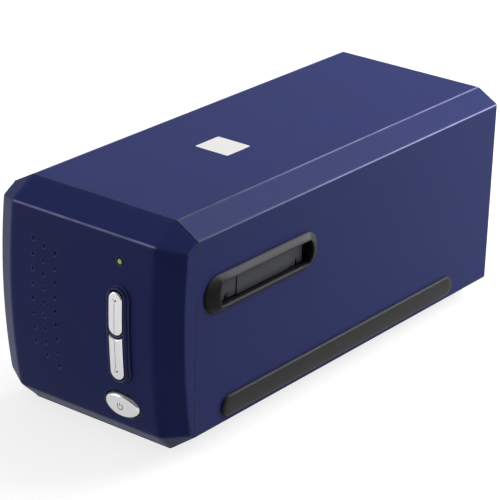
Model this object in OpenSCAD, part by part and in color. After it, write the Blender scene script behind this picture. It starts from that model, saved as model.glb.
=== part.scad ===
// Film negative scanner: a bench-top case that a 35 mm film holder slides through.
// The origin is the centre of the footprint on the surface, +Z is up, the front faces -Y.

/* [Casing] */
// Width between the two flat sides
body_w = 113.5; // [108:0.5:118]
// Height of the top above the surface
body_h = 118; // [114:0.5:122]
// Depth from the front of the buttons to the rear edge
body_d = 272; // [268:0.5:276]
// Thickness of the moulded walls
wall = 2.4; // [2:0.1:2.8]
// Width of the sloped edge between top and side
top_cut_w = 12.6; // [10:0.2:15]
// Height of the sloped edge between top and side
top_cut_h = 7.1; // [5:0.1:9]
// Width of the sloped edge between bottom and side
base_cut_w = 14.2; // [11:0.2:16]
// Height of the sloped edge between bottom and side
base_cut_h = 10.5; // [8:0.1:12]
// Gap between the case and the surface, taken up by the feet
foot_gap = 1; // [0.6:0.1:1.4]

/* [Front panel] */
// How far the front face bulges out of the seam
bulge = 16.9; // [15:0.1:18]
// Radius of the front face, seen from the side
face_r = 318; // [280:1:360]
// Height of the most forward line of the front face
face_z = 75; // [70:1:80]
// Width of the front face between its side bands
face_w = 87.6; // [82:0.2:92]
// Top edge of the front face
face_top = 109.2; // [106:0.1:111]
// Bottom edge of the front face
face_bottom = 10.9; // [9:0.1:13]
// How far back the side bands fall from the face to the side
band_drop = 7.9; // [6:0.1:9]

/* [Controls] */
// Distance of the controls from the middle
control_x = 24.1; // [22:0.1:27]
// Width of a scan button
scan_button_w = 8; // [7:0.1:9]
// Height of the raised rim round the scan buttons
rim_h = 2.2; // [1.6:0.1:2.6]
// How far the scan buttons stand out of the face
scan_button_h = 2.8; // [2.4:0.1:3]
// Travel of each button
button_travel = 0.8; // [0.5:0.1:1]
// Width of the oval power button
power_w = 20.8; // [18:0.2:22]
// Height of the oval power button
power_h = 12.6; // [12:0.2:16]

/* [Film slot] */
// Middle of the film slot, from front to rear
film_y = -66.2; // [-68:0.1:-64]
// Length of the slot mouth
slot_l = 71; // [69:0.5:73]
// Bottom of the slot mouth
slot_bottom = 74.5; // [73:0.1:75]
// Top of the slot mouth
slot_top = 86.5; // [86:0.1:87]
// How far the slot bezels stand out of the sides
bezel_proud = 3.25; // [2.5:0.05:4]

/* [Scan drive] */
// Travel of the scan carriage
scan_travel = 28; // [20:0.5:28]
// Lead of the feed screw, for each turn
screw_lead = 4; // [2:0.5:6]
// Teeth of the motor pinion
pinion_teeth = 14; // [14:1:14]
// Teeth of the feed screw gear
gear_teeth = 42; // [42:1:42]

/* [Hidden] */

// Places in the case, from front to rear
half_w = body_w / 2;
seam_y = -body_d / 2 + bulge + scan_button_h;
rear_y = body_d / 2;
face_y = seam_y - bulge;
base_cut_z = foot_gap + base_cut_h;
floor_z = foot_gap + wall;
rear_panel_y = rear_y - 3.2;
// Clearances: between still pieces, round moving pieces, and of a shaft in its bush
gap = 0.15;
move_gap = 0.45;
run_gap = 0.05;
// Larger than any piece, for cutting
big = 400;
fine = 360;
round_fn = 64;
colour_blue = [0.15, 0.17, 0.37];
colour_black = [0.08, 0.08, 0.09];
colour_grey = [0.25, 0.27, 0.29];
colour_silver = [0.82, 0.83, 0.84];
colour_steel = [0.62, 0.63, 0.65];
colour_brass = [0.72, 0.58, 0.3];
colour_board = [0.08, 0.33, 0.2];

// ---------- shared shapes ----------

// Distances of a sloped edge's two ends from its corner, inset by t
function cut_w(a, b, t) = (a * b + t * norm([a, b]) - a * t) / b;
function cut_h(a, b, t) = (a * b + t * norm([a, b]) - b * t) / a;

// Right half of the case's outline, seen from the front and inset by t
function right_outline(t) = [
  [half_w - cut_w(base_cut_w, base_cut_h, t), foot_gap + t],
  [half_w - t, foot_gap + cut_h(base_cut_w, base_cut_h, t)],
  [half_w - t, body_h - cut_h(top_cut_w, top_cut_h, t)],
  [half_w - cut_w(top_cut_w, top_cut_h, t), body_h - t]
];
function outline(t) = concat(
  right_outline(t),
  [for (i = [3:-1:0]) [-right_outline(t)[i][0], right_outline(t)[i][1]]]
);

// The case's outline as a bar from y0 to y1
module case_bar(t, y0, y1) {
  translate([0, y1, 0]) rotate([90, 0, 0]) linear_extrude(y1 - y0) polygon(outline(t));
}

// Box given by its two corners
module box(a, b) {
  translate(a) cube(b - a);
}

// Everything on the inner side of the plane through p, whose outward normal is n, inset by t
module inside_plane(p, n, t) {
  u = n / norm(n);
  translate(p) rotate([0, acos(u[2]), atan2(u[1], u[0])])
    translate([-big, -big, -2 * big - t]) cube([2 * big, 2 * big, 2 * big]);
}

// Both mirror images of a piece, on the right and on the left
module both_sides() {
  children();
  mirror([1, 0, 0]) children();
}

// Round bar along Y from y0 to y1
module bar_y(x, z, r, y0, y1) {
  translate([x, y1, z]) rotate([90, 0, 0]) cylinder(r = r, h = y1 - y0, $fn = round_fn);
}

// Upright slot with round ends, as a 2D shape whose lower end is at z0 and upper end at z1
module upright_slot(x, z0, z1, w) {
  translate([x - w / 2, z0 + w / 2]) square([w, z1 - z0 - w]);
  translate([x, z0 + w / 2]) circle(d = w, $fn = round_fn);
  translate([x, z1 - w / 2]) circle(d = w, $fn = round_fn);
}

// Oval with its middle at the origin
module oval(w, h) {
  polygon([for (a = [0:6:354]) [w / 2 * cos(a), h / 2 * sin(a)]]);
}

// Stands a 2D shape drawn in X and Z up as a bar from y0 to y1
module stand(y0, y1) {
  translate([0, y1, 0]) rotate([90, 0, 0]) linear_extrude(y1 - y0) children();
}

// Pan-head screw along +Z with its head's underside at the origin
module screw(d, l) {
  head_d = 1.9 * d;
  head_h = 0.6 * d;
  difference() {
    union() {
      translate([0, 0, -l]) cylinder(d = d, h = l, $fn = 24);
      cylinder(d = head_d, h = head_h, $fn = 32);
    }
    for (a = [0, 90])
      rotate(a) translate([-head_d / 3, -d / 10, head_h - d / 4]) cube([head_d * 2 / 3, d / 5, d]);
  }
}

// ---------- front panel ----------

// Distance of the front face from the seam at height z
function face_out(z) = bulge - face_r + sqrt(face_r * face_r - (z - face_z) * (z - face_z));
band_w = half_w - face_w / 2;
band_angle = atan2(band_drop, band_w);
band_r = face_r / cos(band_angle);
// Corners of the right half: edge of the seam, side band at the side, corner of the face
side_low_z = 13.4;
top_a = [half_w - top_cut_w, seam_y, body_h];
top_b = [half_w, seam_y, body_h - top_cut_h];
top_f = [face_w / 2, seam_y - face_out(face_top), face_top];
low_a = [half_w - base_cut_w, seam_y, foot_gap];
low_d = [half_w, seam_y - face_out(side_low_z) + band_drop, side_low_z];
low_g = [face_w / 2, seam_y - face_out(face_bottom), face_bottom];

// Outer form of the front panel inset by t, reaching back to y_back
module panel_form(t, y_back) {
  intersection() {
    case_bar(t, face_y - bulge, y_back);
    translate([0, face_y + face_r, face_z]) rotate([0, 90, 0])
      cylinder(r = face_r - t, h = big, center = true, $fn = fine);
    panel_side_band(t);
    mirror([1, 0, 0]) panel_side_band(t);
    inside_plane(top_a, cross(top_f - top_a, [1, 0, 0]), t);
    inside_plane(low_a, cross([1, 0, 0], low_g - low_a), t);
    inside_plane(top_a, cross(top_f - top_a, top_b - top_a), t);
    mirror([1, 0, 0]) inside_plane(top_a, cross(top_f - top_a, top_b - top_a), t);
    inside_plane(low_a, cross(low_d - low_a, low_g - low_a), t);
    mirror([1, 0, 0]) inside_plane(low_a, cross(low_d - low_a, low_g - low_a), t);
  }
}

// Curved band that leads from the front face back to the right side
module panel_side_band(t) {
  translate([face_w / 2, face_y, face_z]) rotate([0, 0, band_angle]) translate([0, band_r, 0])
    rotate([0, 90, 0]) cylinder(r = band_r - t, h = 2 * big, center = true, $fn = fine);
}

// Face surface moved forward by t, as a slab from there to the rear, to trim what follows the face
module behind_face(t) {
  translate([0, face_y + face_r, face_z]) rotate([0, 90, 0])
    cylinder(r = face_r + t, h = big, center = true, $fn = fine);
}

// Scan buttons: lower and upper end of each, and the web between them
upper_z0 = 61;
upper_z1 = 83;
lower_z0 = 37.7;
lower_z1 = 63.3;
button_gap = 0.5;
web_t = 0.8;
rim_lip = 1.6;
rim_w = scan_button_w + 2 * (button_gap + rim_lip);
// Back of the guides that the scan buttons slide in
guide_y = seam_y - bulge / 2;
board_y = seam_y + 0.5;
board_front_y = board_y - 1.6;
power_x = control_x - 0.7;
power_z = 22.8;
power_dome_r = 45;
power_proud = 2;
light_z = 97.1;
light_x = control_x - 0.2;

module upper_button_shape(grow) {
  upright_slot(control_x, upper_z0 - grow, upper_z1 + grow, scan_button_w + 2 * grow);
}

// The lower button's top is hollowed to follow the upper button's round end
module lower_button_shape(grow) {
  difference() {
    upright_slot(control_x, lower_z0 - grow, lower_z1 + scan_button_w, scan_button_w + 2 * grow);
    translate([control_x - scan_button_w, lower_z1 + 2 * grow / 3])
      square([2 * scan_button_w, 2 * scan_button_w]);
    translate([control_x, upper_z0 + scan_button_w / 2])
      circle(r = scan_button_w / 2 + 2 * button_gap + web_t - grow, $fn = round_fn);
  }
}

// Columns of small square dents: X, top Z, pitch and count
dent_columns = [[-29.4, 94.4, 7.67, 8], [-22.7, 92.2, 7.15, 9], [-15.6, 90.3, 7.41, 9]];
dent_w = 1.6;
dent_h = 1.8;
dent_depth = 0.9;
// Bosses that carry the button board: X and Z
board_bosses = [[8, 92], [40, 92], [8, 14], [40, 14]];

module front_panel() {
  color(colour_blue) {
    difference() {
      union() {
        panel_form(0, seam_y);
        intersection() {
          stand(face_y - 5, guide_y)
            upright_slot(control_x, lower_z0 - button_gap - rim_lip, upper_z1 + button_gap + rim_lip, rim_w);
          behind_face(rim_h);
        }
      }
      difference() {
        panel_form(wall, seam_y + 1);
        // thicker wall behind the rim guides the buttons
        stand(face_y, guide_y)
          upright_slot(control_x, lower_z0 - button_gap - rim_lip, upper_z1 + button_gap + rim_lip, rim_w);
        for (b = board_bosses)
          bar_y(b[0], b[1], 3, face_y, board_front_y);
      }
      stand(face_y - 6, seam_y) {
        upper_button_shape(button_gap);
        lower_button_shape(button_gap);
        translate([power_x, power_z]) oval(power_w + 2 * button_gap, power_h + 2 * button_gap);
      }
      bar_y(light_x, light_z, 2.3, face_y - 6, seam_y);
      for (b = board_bosses)
        bar_y(b[0], b[1], 1, board_front_y - 6, board_front_y + 1);
      for (c = dent_columns)
        for (i = [0:c[3] - 1])
          dent(c[0], c[1] - i * c[2]);
    }
    locating_lip();
  }
}

module dent(x, z) {
  y = seam_y - face_out(z) + dent_depth;
  box([x - dent_w / 2, y - 3, z - dent_h / 2], [x + dent_w / 2, y, z + dent_h / 2]);
}

// Lip inside the seam that the top cover slides over
module locating_lip() {
  lip_t = 1.4;
  inset = wall + gap;
  difference() {
    case_bar(inset - gap, seam_y - 3, seam_y);
    case_bar(inset + lip_t, seam_y - 4, seam_y + 1);
    box([-half_w, seam_y - 5, 0], [half_w, seam_y + 1, floor_z + 3]);
  }
  difference() {
    case_bar(inset, seam_y - 0.5, seam_y + 4);
    case_bar(inset + lip_t, seam_y - 4, seam_y + 5);
    box([-half_w, seam_y - 5, 0], [half_w, seam_y + 5, base_cut_z + 5]);
  }
}

// ---------- buttons ----------

stem_r = 1.5;
switch_y = board_front_y - 3.4;

// Cap that follows the face, with a flange behind the panel and a stem that reaches its switch
module scan_button(stem_z) {
  flange_y = guide_y + move_gap;
  color(colour_silver) {
    intersection() {
      stand(face_y - 5, flange_y + 1) children();
      behind_face(scan_button_h);
    }
    bar_y(control_x, stem_z, stem_r, flange_y, switch_y - 0.05);
  }
}

module upper_scan_button() {
  difference() {
    union() {
      scan_button((upper_z0 + upper_z1) / 2) upper_button_shape(0);
      button_flange(upper_z0 + 5, upper_z1 + 1.6);
    }
    button_groove(upper_z0, upper_z1 - 6);
  }
}

module lower_scan_button() {
  difference() {
    union() {
      scan_button((lower_z0 + lower_z1) / 2) lower_button_shape(0);
      button_flange(lower_z0 - 1.6, lower_z1 - 9);
    }
    button_groove(lower_z0 + 6, lower_z1);
  }
}

// Flange behind the panel that stops a scan button from falling out
module button_flange(z0, z1) {
  y = guide_y + move_gap;
  color(colour_silver)
    box([control_x - scan_button_w / 2 - 1.6, y, z0], [control_x + scan_button_w / 2 + 1.6, y + 1, z1]);
}

// Fine upright line pressed into a scan button
module button_groove(z0, z1) {
  difference() {
    box([control_x - 0.55, face_y - 5, z0], [control_x - 0.3, seam_y, z1]);
    behind_face(scan_button_h - 0.2);
  }
}

module power_button() {
  flange_y = seam_y - face_out(power_z) + wall + 2.6;
  tilt = asin((face_z - power_z) / face_r);
  back = power_dome_r - power_proud;
  color(colour_silver) {
    // an oval with a domed front, square to the bowed face
    intersection() {
      translate([power_x, 0, power_z]) stand(face_y - 5, flange_y + 1) oval(power_w, power_h);
      translate([power_x, seam_y - face_out(power_z) + back * cos(tilt), power_z + back * sin(tilt)])
        sphere(r = power_dome_r, $fn = fine);
    }
    translate([power_x, 0, power_z]) stand(flange_y, flange_y + 1) oval(power_w + 3, power_h + 3);
    bar_y(power_x, power_z, stem_r, flange_y, switch_y - 0.05);
  }
}

module status_light() {
  light_y = seam_y - face_out(light_z);
  color([0.55, 0.75, 0.35]) {
    bar_y(light_x, light_z, 1.6, light_y + 0.6, board_front_y - 0.5);
    translate([light_x, light_y + 0.6, light_z]) sphere(r = 1.6, $fn = round_fn);
    bar_y(light_x, light_z, 1.9, board_front_y - 1.5, board_front_y);
  }
}

module blank_label() {
  color("white") box([-10.5, -36, body_h], [9.8, -17.6, body_h + 0.12]);
}

module button_board() {
  color(colour_board) difference() {
    box([4, board_front_y, 10], [44, board_y, 102]);
    for (b = board_bosses)
      bar_y(b[0], b[1], 1.3, board_front_y - 1, board_y + 1);
  }
}

module button_switches() {
  upper = [control_x, (upper_z0 + upper_z1) / 2];
  lower = [control_x, (lower_z0 + lower_z1) / 2];
  color(colour_black)
    for (at = [upper, lower, [power_x, power_z]]) {
      box([at[0] - 3, board_front_y - 2, at[1] - 3], [at[0] + 3, board_front_y, at[1] + 3]);
      bar_y(at[0], at[1], 1.4, switch_y + button_travel + 0.1, board_front_y - 1);
    }
}

module button_board_screws() {
  color(colour_steel)
    for (b = board_bosses)
      translate([b[0], board_y, b[1]]) rotate([-90, 0, 0]) screw(2, 6);
}

// ---------- outer case ----------

// Bosses for the case screws and the posts of the inner frame: Y places
boss_ys = [-70, 80];
boss_x = 50.4;
boss_z = 15.2;
frame_z = 8;
frame_t = 2.5;
frame_post_xs = [-30, 30];
frame_post_ys = [-98, 104];
foot_x = 33;
foot_ys = [-88, 120];
foot_r = 6;
// Bezel outline and the hole behind it
bezel_y0 = film_y - 45;
bezel_y1 = film_y + 42;
bezel_z0 = 70.9;
bezel_z1 = 90.1;
slot_y0 = film_y - slot_l / 2;
slot_y1 = film_y + slot_l / 2;
collar_t = 1.2;
collar_top = 87.5;
hole_gap = 0.2;

module top_cover() {
  color(colour_blue) difference() {
    union() {
      difference() {
        case_bar(0, seam_y, rear_y);
        case_bar(wall, seam_y - 1, rear_y + 1);
        box([-half_w - 1, seam_y - 1, 0], [half_w + 1, rear_y + 1, base_cut_z]);
        // room for the tray's lip
        box([-half_w + wall, seam_y - 1, base_cut_z - 1], [half_w - wall, rear_y + 1, base_cut_z + 4]);
      }
      both_sides() for (y = boss_ys)
        box([boss_x - 3.2, y - 4, boss_z + gap], [half_w - wall / 2, y + 4, 30]);
      // stops that the rear panel rests against
      both_sides()
        box([half_w - wall - 1.5, rear_panel_y - 3, 30], [half_w - wall / 2, rear_panel_y - gap, 100]);
    }
    both_sides() {
      box([half_w - wall - 1, slot_y0 - collar_t - hole_gap, slot_bottom - collar_t - hole_gap],
        [half_w + 1, slot_y1 + collar_t + hole_gap, collar_top + collar_t - 0.2 + hole_gap]);
      for (y = boss_ys)
        translate([boss_x, y, boss_z]) cylinder(r = 1.25, h = 13, $fn = 32);
    }
  }
}

module bottom_tray() {
  lip_x = half_w - wall - gap;
  color(colour_blue) difference() {
    union() {
      difference() {
        case_bar(0, seam_y, rear_y);
        case_bar(wall, seam_y - 1, rear_y + 1);
        box([-half_w - 1, seam_y - 1, base_cut_z], [half_w + 1, rear_y + 1, body_h + 1]);
      }
      both_sides() {
        // lip inside the top cover
        box([lip_x - 1.4, seam_y + 5, base_cut_z - 1.5], [lip_x, rear_panel_y - 4, base_cut_z + 3.5]);
        for (y = boss_ys) intersection() {
          box([boss_x - 3.2, y - 4, 0], [lip_x, y + 4, boss_z]);
          case_bar(wall / 2, y - 5, y + 5);
        }
      }
      for (x = frame_post_xs, y = frame_post_ys)
        translate([x, y, floor_z - 1]) cylinder(r = 4, h = frame_z - floor_z + 1, $fn = round_fn);
    }
    both_sides() for (y = boss_ys) {
      translate([boss_x, y, 0]) cylinder(r = 1.7, h = boss_z + 1, $fn = 32);
      translate([boss_x, y, 0]) cylinder(r = 3, h = boss_z - 4, $fn = 32);
    }
    for (x = frame_post_xs, y = frame_post_ys)
      translate([x, y, floor_z]) cylinder(r = 1.25, h = frame_z, $fn = 32);
    both_sides() for (y = foot_ys)
      translate([foot_x, y, 0]) cylinder(r = foot_r + 0.2, h = foot_gap + 1, $fn = round_fn);
  }
}

// Rear panel: places of its openings
usb_x = -18;
power_in_x = 14;
board_z = 72;
board_t = 1.6;
board_x = 52.6;
socket_z = board_z + board_t;
rear_out_y = rear_panel_y + 2.2;
lock_x = 44;
lock_z = 30;

module rear_panel() {
  color(colour_blue) difference() {
    case_bar(wall + gap, rear_panel_y, rear_out_y);
    box([usb_x - 6.6, rear_panel_y - 1, socket_z - 0.6], [usb_x + 6.6, rear_y, socket_z + 11.4]);
    bar_y(power_in_x, socket_z + 6, 5, rear_panel_y - 1, rear_y);
    // security slot
    stand(rear_panel_y - 1, rear_y) translate([lock_x - 3.5, lock_z]) square([7, 3]);
  }
}

module rubber_feet() {
  color(colour_black) both_sides() for (y = foot_ys)
    translate([foot_x, y, 0]) cylinder(r = foot_r, h = foot_gap + 1 - 0.05, $fn = round_fn);
}

module case_screws() {
  color(colour_steel) both_sides() for (y = boss_ys)
    translate([boss_x, y, boss_z - 4]) mirror([0, 0, 1]) screw(2.4, 14);
}

// Long pad with round ends on the right side, standing out by h with rounded edges
module side_pad(y0, y1, z0, z1, h, edge) {
  r = (z1 - z0) / 2;
  translate([half_w, 0, (z0 + z1) / 2]) rotate([0, 90, 0]) {
    // the profile runs along Y, with its height along X
    translate([0, y1 - r, 0]) rotate([90, 0, 0]) linear_extrude(y1 - y0 - 2 * r) pad_profile(r, h, edge);
    for (y = [y0 + r, y1 - r])
      translate([0, y, 0]) rotate_extrude($fn = 96) intersection() {
        pad_profile(r, h, edge);
        square([r, h]);
      }
  }
}

// Section of a pad: flat below, with round upper edges
module pad_profile(r, h, edge) {
  intersection() {
    translate([-r, 0]) square([2 * r, h]);
    union() {
      translate([-r, 0]) square([2 * r, h - edge]);
      translate([-r + edge, 0]) square([2 * r - 2 * edge, h]);
      for (s = [-1, 1])
        translate([s * (r - edge), h - edge]) circle(r = edge, $fn = 48);
    }
  }
}

module right_side_strip() {
  color(colour_black) side_pad(-96.3, 100.4, 13.8, 24.7, 1.7, 1.2);
}
module left_side_strip() {
  mirror([1, 0, 0]) right_side_strip();
}

// ---------- film slot ----------

pin_x = half_w - 2.15;
pin_z = 85.6;
pin_r = 0.9;
flap_y0 = slot_y0 + 4.2;
flap_y1 = slot_y1 - 4.2;
flap_x0 = pin_x + 0.2;
flap_x1 = pin_x + 1.4;
collar_x = 52.2;

module right_slot_bezel() {
  color(colour_black) difference() {
    union() {
      side_pad(bezel_y0, bezel_y1, bezel_z0, bezel_z1, bezel_proud, 2.6);
      difference() {
        box(
          [collar_x, slot_y0 - collar_t, slot_bottom - collar_t],
          [half_w + 1, slot_y1 + collar_t, collar_top + 1]
        );
        box([collar_x - 1, slot_y0, slot_bottom], [half_w, slot_y1, collar_top]);
      }
    }
    // the mouth has a square front end and a round rear end
    box([half_w - 1, slot_y0, slot_bottom], [half_w + 5, slot_y1 - 3, slot_top]);
    intersection() {
      box([half_w - 1, slot_y1 - 6, slot_bottom], [half_w + 5, slot_y1, slot_top]);
      translate([half_w - 2, slot_y1 - 9, (slot_bottom + slot_top) / 2]) rotate([0, 90, 0])
        cylinder(r = 9, h = 10, $fn = round_fn);
    }
    bar_y(pin_x, pin_z, pin_r + 0.02, slot_y0 - 5, slot_y1 + 5);
  }
}
module left_slot_bezel() {
  mirror([1, 0, 0]) right_slot_bezel();
}

module right_dust_flap() {
  notch_w = 2;
  color(colour_grey) difference() {
    union() {
      box([flap_x0, flap_y0, slot_bottom + 0.5], [flap_x1, flap_y1, pin_z]);
      // raised middle of the flap
      box([flap_x1 - 0.5, film_y - 20, slot_bottom + 0.5], [flap_x1 + 0.4, film_y + 20, pin_z - 3]);
      bar_y(pin_x, pin_z, 1.6, flap_y0, flap_y1);
    }
    bar_y(pin_x, pin_z, pin_r + run_gap, flap_y0 - 1, flap_y1 + 1);
    for (y = [flap_y0 + 3, flap_y1 - 3 - notch_w])
      box([flap_x0 - 2, y, 0], [flap_x1 + 2, y + notch_w, slot_bottom + 3.2]);
  }
}
module left_dust_flap() {
  mirror([1, 0, 0]) right_dust_flap();
}

module right_flap_pin() {
  color(colour_steel) bar_y(pin_x, pin_z, pin_r, slot_y0 - collar_t, slot_y1 + collar_t);
}
module left_flap_pin() {
  mirror([1, 0, 0]) right_flap_pin();
}

// Two close-wound coils round the pin, each with a leg on the flap and a leg on the collar
module right_flap_springs() {
  coil_r = 1.55;
  color(colour_steel)
    for (y = [slot_y0 + 0.4, flap_y1 + 0.3]) {
      difference() {
        bar_y(pin_x, pin_z, coil_r, y, y + 3.4);
        bar_y(pin_x, pin_z, coil_r - 0.4, y - 1, y + 5);
      }
      box([pin_x - coil_r, y + 1.4, pin_z - 6], [pin_x - coil_r + 0.4, y + 1.8, pin_z]);
    }
}
module left_flap_springs() {
  mirror([1, 0, 0]) right_flap_springs();
}

// ---------- inner frame and film bed ----------

rod_x = 40;
rod_z = 20;
rod_r = 3;
screw_z = 36;
screw_r = 2.5;
bearing_r = 4;
front_upright_y = -110;
rear_upright_y = 112;
upright_t = 2.5;
bed_z = 70.5;
bed_t = 2.5;
bed_x = 50;
bed_y0 = slot_y0 - 1.5;
bed_y1 = slot_y1 + 1.8;
tall_post_x = 50;
tall_post_r = 2.4;
ear_z = 12;
ear_t = 1.8;
bed_post_ys = [film_y - 32, film_y + 34];
board_post_ys = [40, 124];
screw_front_y = -48;
// Gear pair: centre distance is set by the module and the teeth
gear_module = 0.6;
gear_y = 115.5;
gear_t = 3;
gear_distance = gear_module * (pinion_teeth + gear_teeth) / 2;
motor_z = screw_z + gear_distance;
motor_r = 12.5;
motor_l = 18;

module inner_frame() {
  frame_top = frame_z + frame_t;
  color(colour_black) difference() {
    union() {
      box([-45, front_upright_y, frame_z], [45, 128, frame_top]);
      // raised ears over the sloped edges of the tray, which carry the tall posts
      both_sides() for (y = concat(bed_post_ys, board_post_ys)) {
        box([43, y - 4, frame_z], [45, y + 4, ear_z + ear_t]);
        box([43, y - 4, ear_z], [tall_post_x + 2.4, y + 4, ear_z + ear_t]);
      }
      box([-46, front_upright_y, frame_z], [46, front_upright_y + upright_t, 30]);
      box([-46, rear_upright_y, frame_z], [rod_x + 6, rear_upright_y + upright_t, 30]);
      // tall part behind the motor and the gears
      box([-rod_x - 12, rear_upright_y, 14], [-rod_x + 13, rear_upright_y + upright_t, 68]);
      // front bearing bracket of the feed screw
      box([-rod_x - 5, screw_front_y, frame_z], [-rod_x + 5, screw_front_y + 4, screw_z + 6]);
      for (x = [-tall_post_x, tall_post_x]) {
        for (y = bed_post_ys)
          translate([x, y, ear_z]) cylinder(r = tall_post_r, h = bed_z - ear_z, $fn = round_fn);
        for (y = board_post_ys)
          translate([x, y, ear_z]) cylinder(r = tall_post_r, h = board_z - ear_z, $fn = round_fn);
      }
    }
    for (x = [-rod_x, rod_x])
      bar_y(x, rod_z, rod_r + 0.02, front_upright_y - 1, 130);
    bar_y(-rod_x, screw_z, bearing_r + 0.02, screw_front_y - 1, 130);
    bar_y(-rod_x, motor_z, 3, rear_upright_y - 1, 130);
    for (x = frame_post_xs, y = frame_post_ys)
      translate([x, y, 0]) cylinder(r = 1.6, h = 20, $fn = 32);
    // pilot holes for the screws of the film bed and the main board
    for (x = [-tall_post_x, tall_post_x]) {
      for (y = bed_post_ys)
        translate([x, y, bed_z - 9]) cylinder(r = 1, h = 12, $fn = 32);
      for (y = board_post_ys)
        translate([x, y, board_z - 9]) cylinder(r = 1, h = 12, $fn = 32);
    }
  }
}

// Screws of the frame, the film bed's posts and the main board, seen from above
module frame_screws() {
  color(colour_steel) {
    for (x = frame_post_xs, y = frame_post_ys)
      translate([x, y, frame_z + frame_t]) screw(2.4, 7);
    for (x = [-tall_post_x, tall_post_x], y = board_post_ys)
      translate([x, y, board_z + board_t]) screw(1.9, 8);
  }
}

window_w = 40;
window_l = 32;
guide_x = 40.5;
guide_z = slot_top + 0.3;
guide_t = 2.2;
guide_screw_x = 36;
guide_post_ys = [bed_y0 - 1.2, bed_y1 + 1.2];

module film_bed() {
  color(colour_black) difference() {
    union() {
      box([-bed_x, bed_y0, bed_z], [bed_x, bed_y1, bed_z + bed_t]);
      for (x = [-tall_post_x, tall_post_x], y = bed_post_ys)
        translate([x, y, bed_z]) cylinder(r = 2.6, h = bed_t, $fn = round_fn);
      // walls that guide the film holder
      box([-guide_x, bed_y0, bed_z], [guide_x, bed_y0 + 1.5, guide_z]);
      box([-guide_x, bed_y1 - 1.8, bed_z], [guide_x, bed_y1, guide_z]);
      for (x = [-guide_screw_x, guide_screw_x], y = guide_post_ys)
        box([x - 2.5, y - 2.5, bed_z], [x + 2.5, y + 2.5, guide_z]);
      for (y = [film_y - 4.6, film_y + 2.6])
        box([36, y, lever_z - 3], [46, y + 2, bed_z + 1]);
    }
    box(
      [-window_w / 2, film_y - window_l / 2, bed_z - 1],
      [window_w / 2, film_y + window_l / 2, bed_z + 5]
    );
    // gap for the index roller
    box([roller_x - 4, film_y - 2.4, bed_z - 1], [roller_x + 4, film_y + 2.4, bed_z + 5]);
    bar_y(lever_x, lever_z, 1.02, film_y - 6, film_y + 6);
    for (x = [-tall_post_x, tall_post_x], y = bed_post_ys)
      translate([x, y, bed_z - 1]) cylinder(r = 1.2, h = 6, $fn = 32);
    for (x = [-guide_screw_x, guide_screw_x], y = guide_post_ys)
      translate([x, y, guide_z - 8]) cylinder(r = 0.9, h = 10, $fn = 32);
  }
}

module film_guide_cover() {
  color(colour_black) difference() {
    union() {
      box([-guide_x, bed_y0, guide_z], [guide_x, bed_y1, guide_z + guide_t]);
      for (x = [-guide_screw_x, guide_screw_x], y = guide_post_ys)
        box([x - 2.5, y - 2.5, guide_z], [x + 2.5, y + 2.5, guide_z + guide_t]);
    }
    box(
      [-window_w / 2, film_y - window_l / 2, guide_z - 1],
      [window_w / 2, film_y + window_l / 2, guide_z + 5]
    );
    for (x = [-guide_screw_x, guide_screw_x], y = guide_post_ys)
      translate([x, y, guide_z - 1]) cylinder(r = 1.2, h = 6, $fn = 32);
  }
}

module film_bed_screws() {
  color(colour_steel) {
    for (x = [-tall_post_x, tall_post_x], y = bed_post_ys)
      translate([x, y, bed_z + bed_t]) screw(1.9, 8);
    for (x = [-guide_screw_x, guide_screw_x], y = guide_post_ys)
      translate([x, y, guide_z + guide_t]) screw(1.7, 7);
  }
}

// ---------- index lever under the film bed ----------

lever_x = 41.5;
lever_z = 66;
roller_x = 31;
roller_z = 70.6;
roller_r = 3;

module index_lever() {
  color(colour_grey) difference() {
    union() {
      box([roller_x - 2, film_y - 2.2, lever_z - 1.6], [lever_x, film_y + 2.2, lever_z + 1]);
      for (y = [film_y - 2.2, film_y + 1.2])
        box([roller_x - 1.6, y, lever_z - 1], [roller_x + 1.6, y + 1, roller_z + 1.2]);
      bar_y(lever_x, lever_z, 2.4, film_y - 2.2, film_y + 2.2);
    }
    bar_y(lever_x, lever_z, 1 + run_gap, film_y - 3, film_y + 3);
    bar_y(roller_x, roller_z, 0.8 + 0.01, film_y - 3, film_y + 3);
  }
}

module index_lever_pin() {
  color(colour_steel) bar_y(lever_x, lever_z, 1, film_y - 4.6, film_y + 4.6);
}

// Roller on its own axle, which is fixed in the roller and turns in the lever
module index_roller() {
  color(colour_silver) {
    bar_y(roller_x, roller_z, roller_r, film_y - 0.9, film_y + 0.9);
    bar_y(roller_x, roller_z, 0.75, film_y - 2.2, film_y + 2.2);
  }
}

// Leaf spring clamped to the bed that presses the lever up
module index_spring() {
  spring_z = lever_z - 2.7;
  color(colour_steel) {
    box([roller_x, film_y - 1.5, spring_z - 0.3], [lever_x + 4, film_y + 1.5, spring_z]);
    box([roller_x, film_y - 1.5, spring_z - 0.1], [roller_x + 1.5, film_y + 1.5, lever_z - 1.65]);
    box([lever_x + 3, film_y - 1.5, spring_z - 0.3], [lever_x + 4, film_y + 1.5, bed_z - 0.1]);
  }
}

// ---------- scan carriage ----------

scan_y = film_y + scan_travel / 2;
box_w = 52;
box_y0 = scan_y - 24;
box_y1 = 98;
box_z0 = 16;
box_z1 = 62;
box_t = 2.2;
beam_z = 40;
bush_ys = [scan_y - 14, 52];
bush_l = 11;
bush_r = 5;
nut_y = 2;
nut_l = 9;
lens_y = 16;
lens_l = 26;
lens_r = 10;
sensor_y = 90;
// Inner side of the carriage's flag
flag_x = 31.4;

module main_guide_rod() {
  color(colour_steel) bar_y(-rod_x, rod_z, rod_r, front_upright_y, rear_upright_y + upright_t);
}
module side_guide_rod() {
  color(colour_steel) bar_y(rod_x, rod_z, rod_r, front_upright_y, rear_upright_y + upright_t);
}

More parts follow.
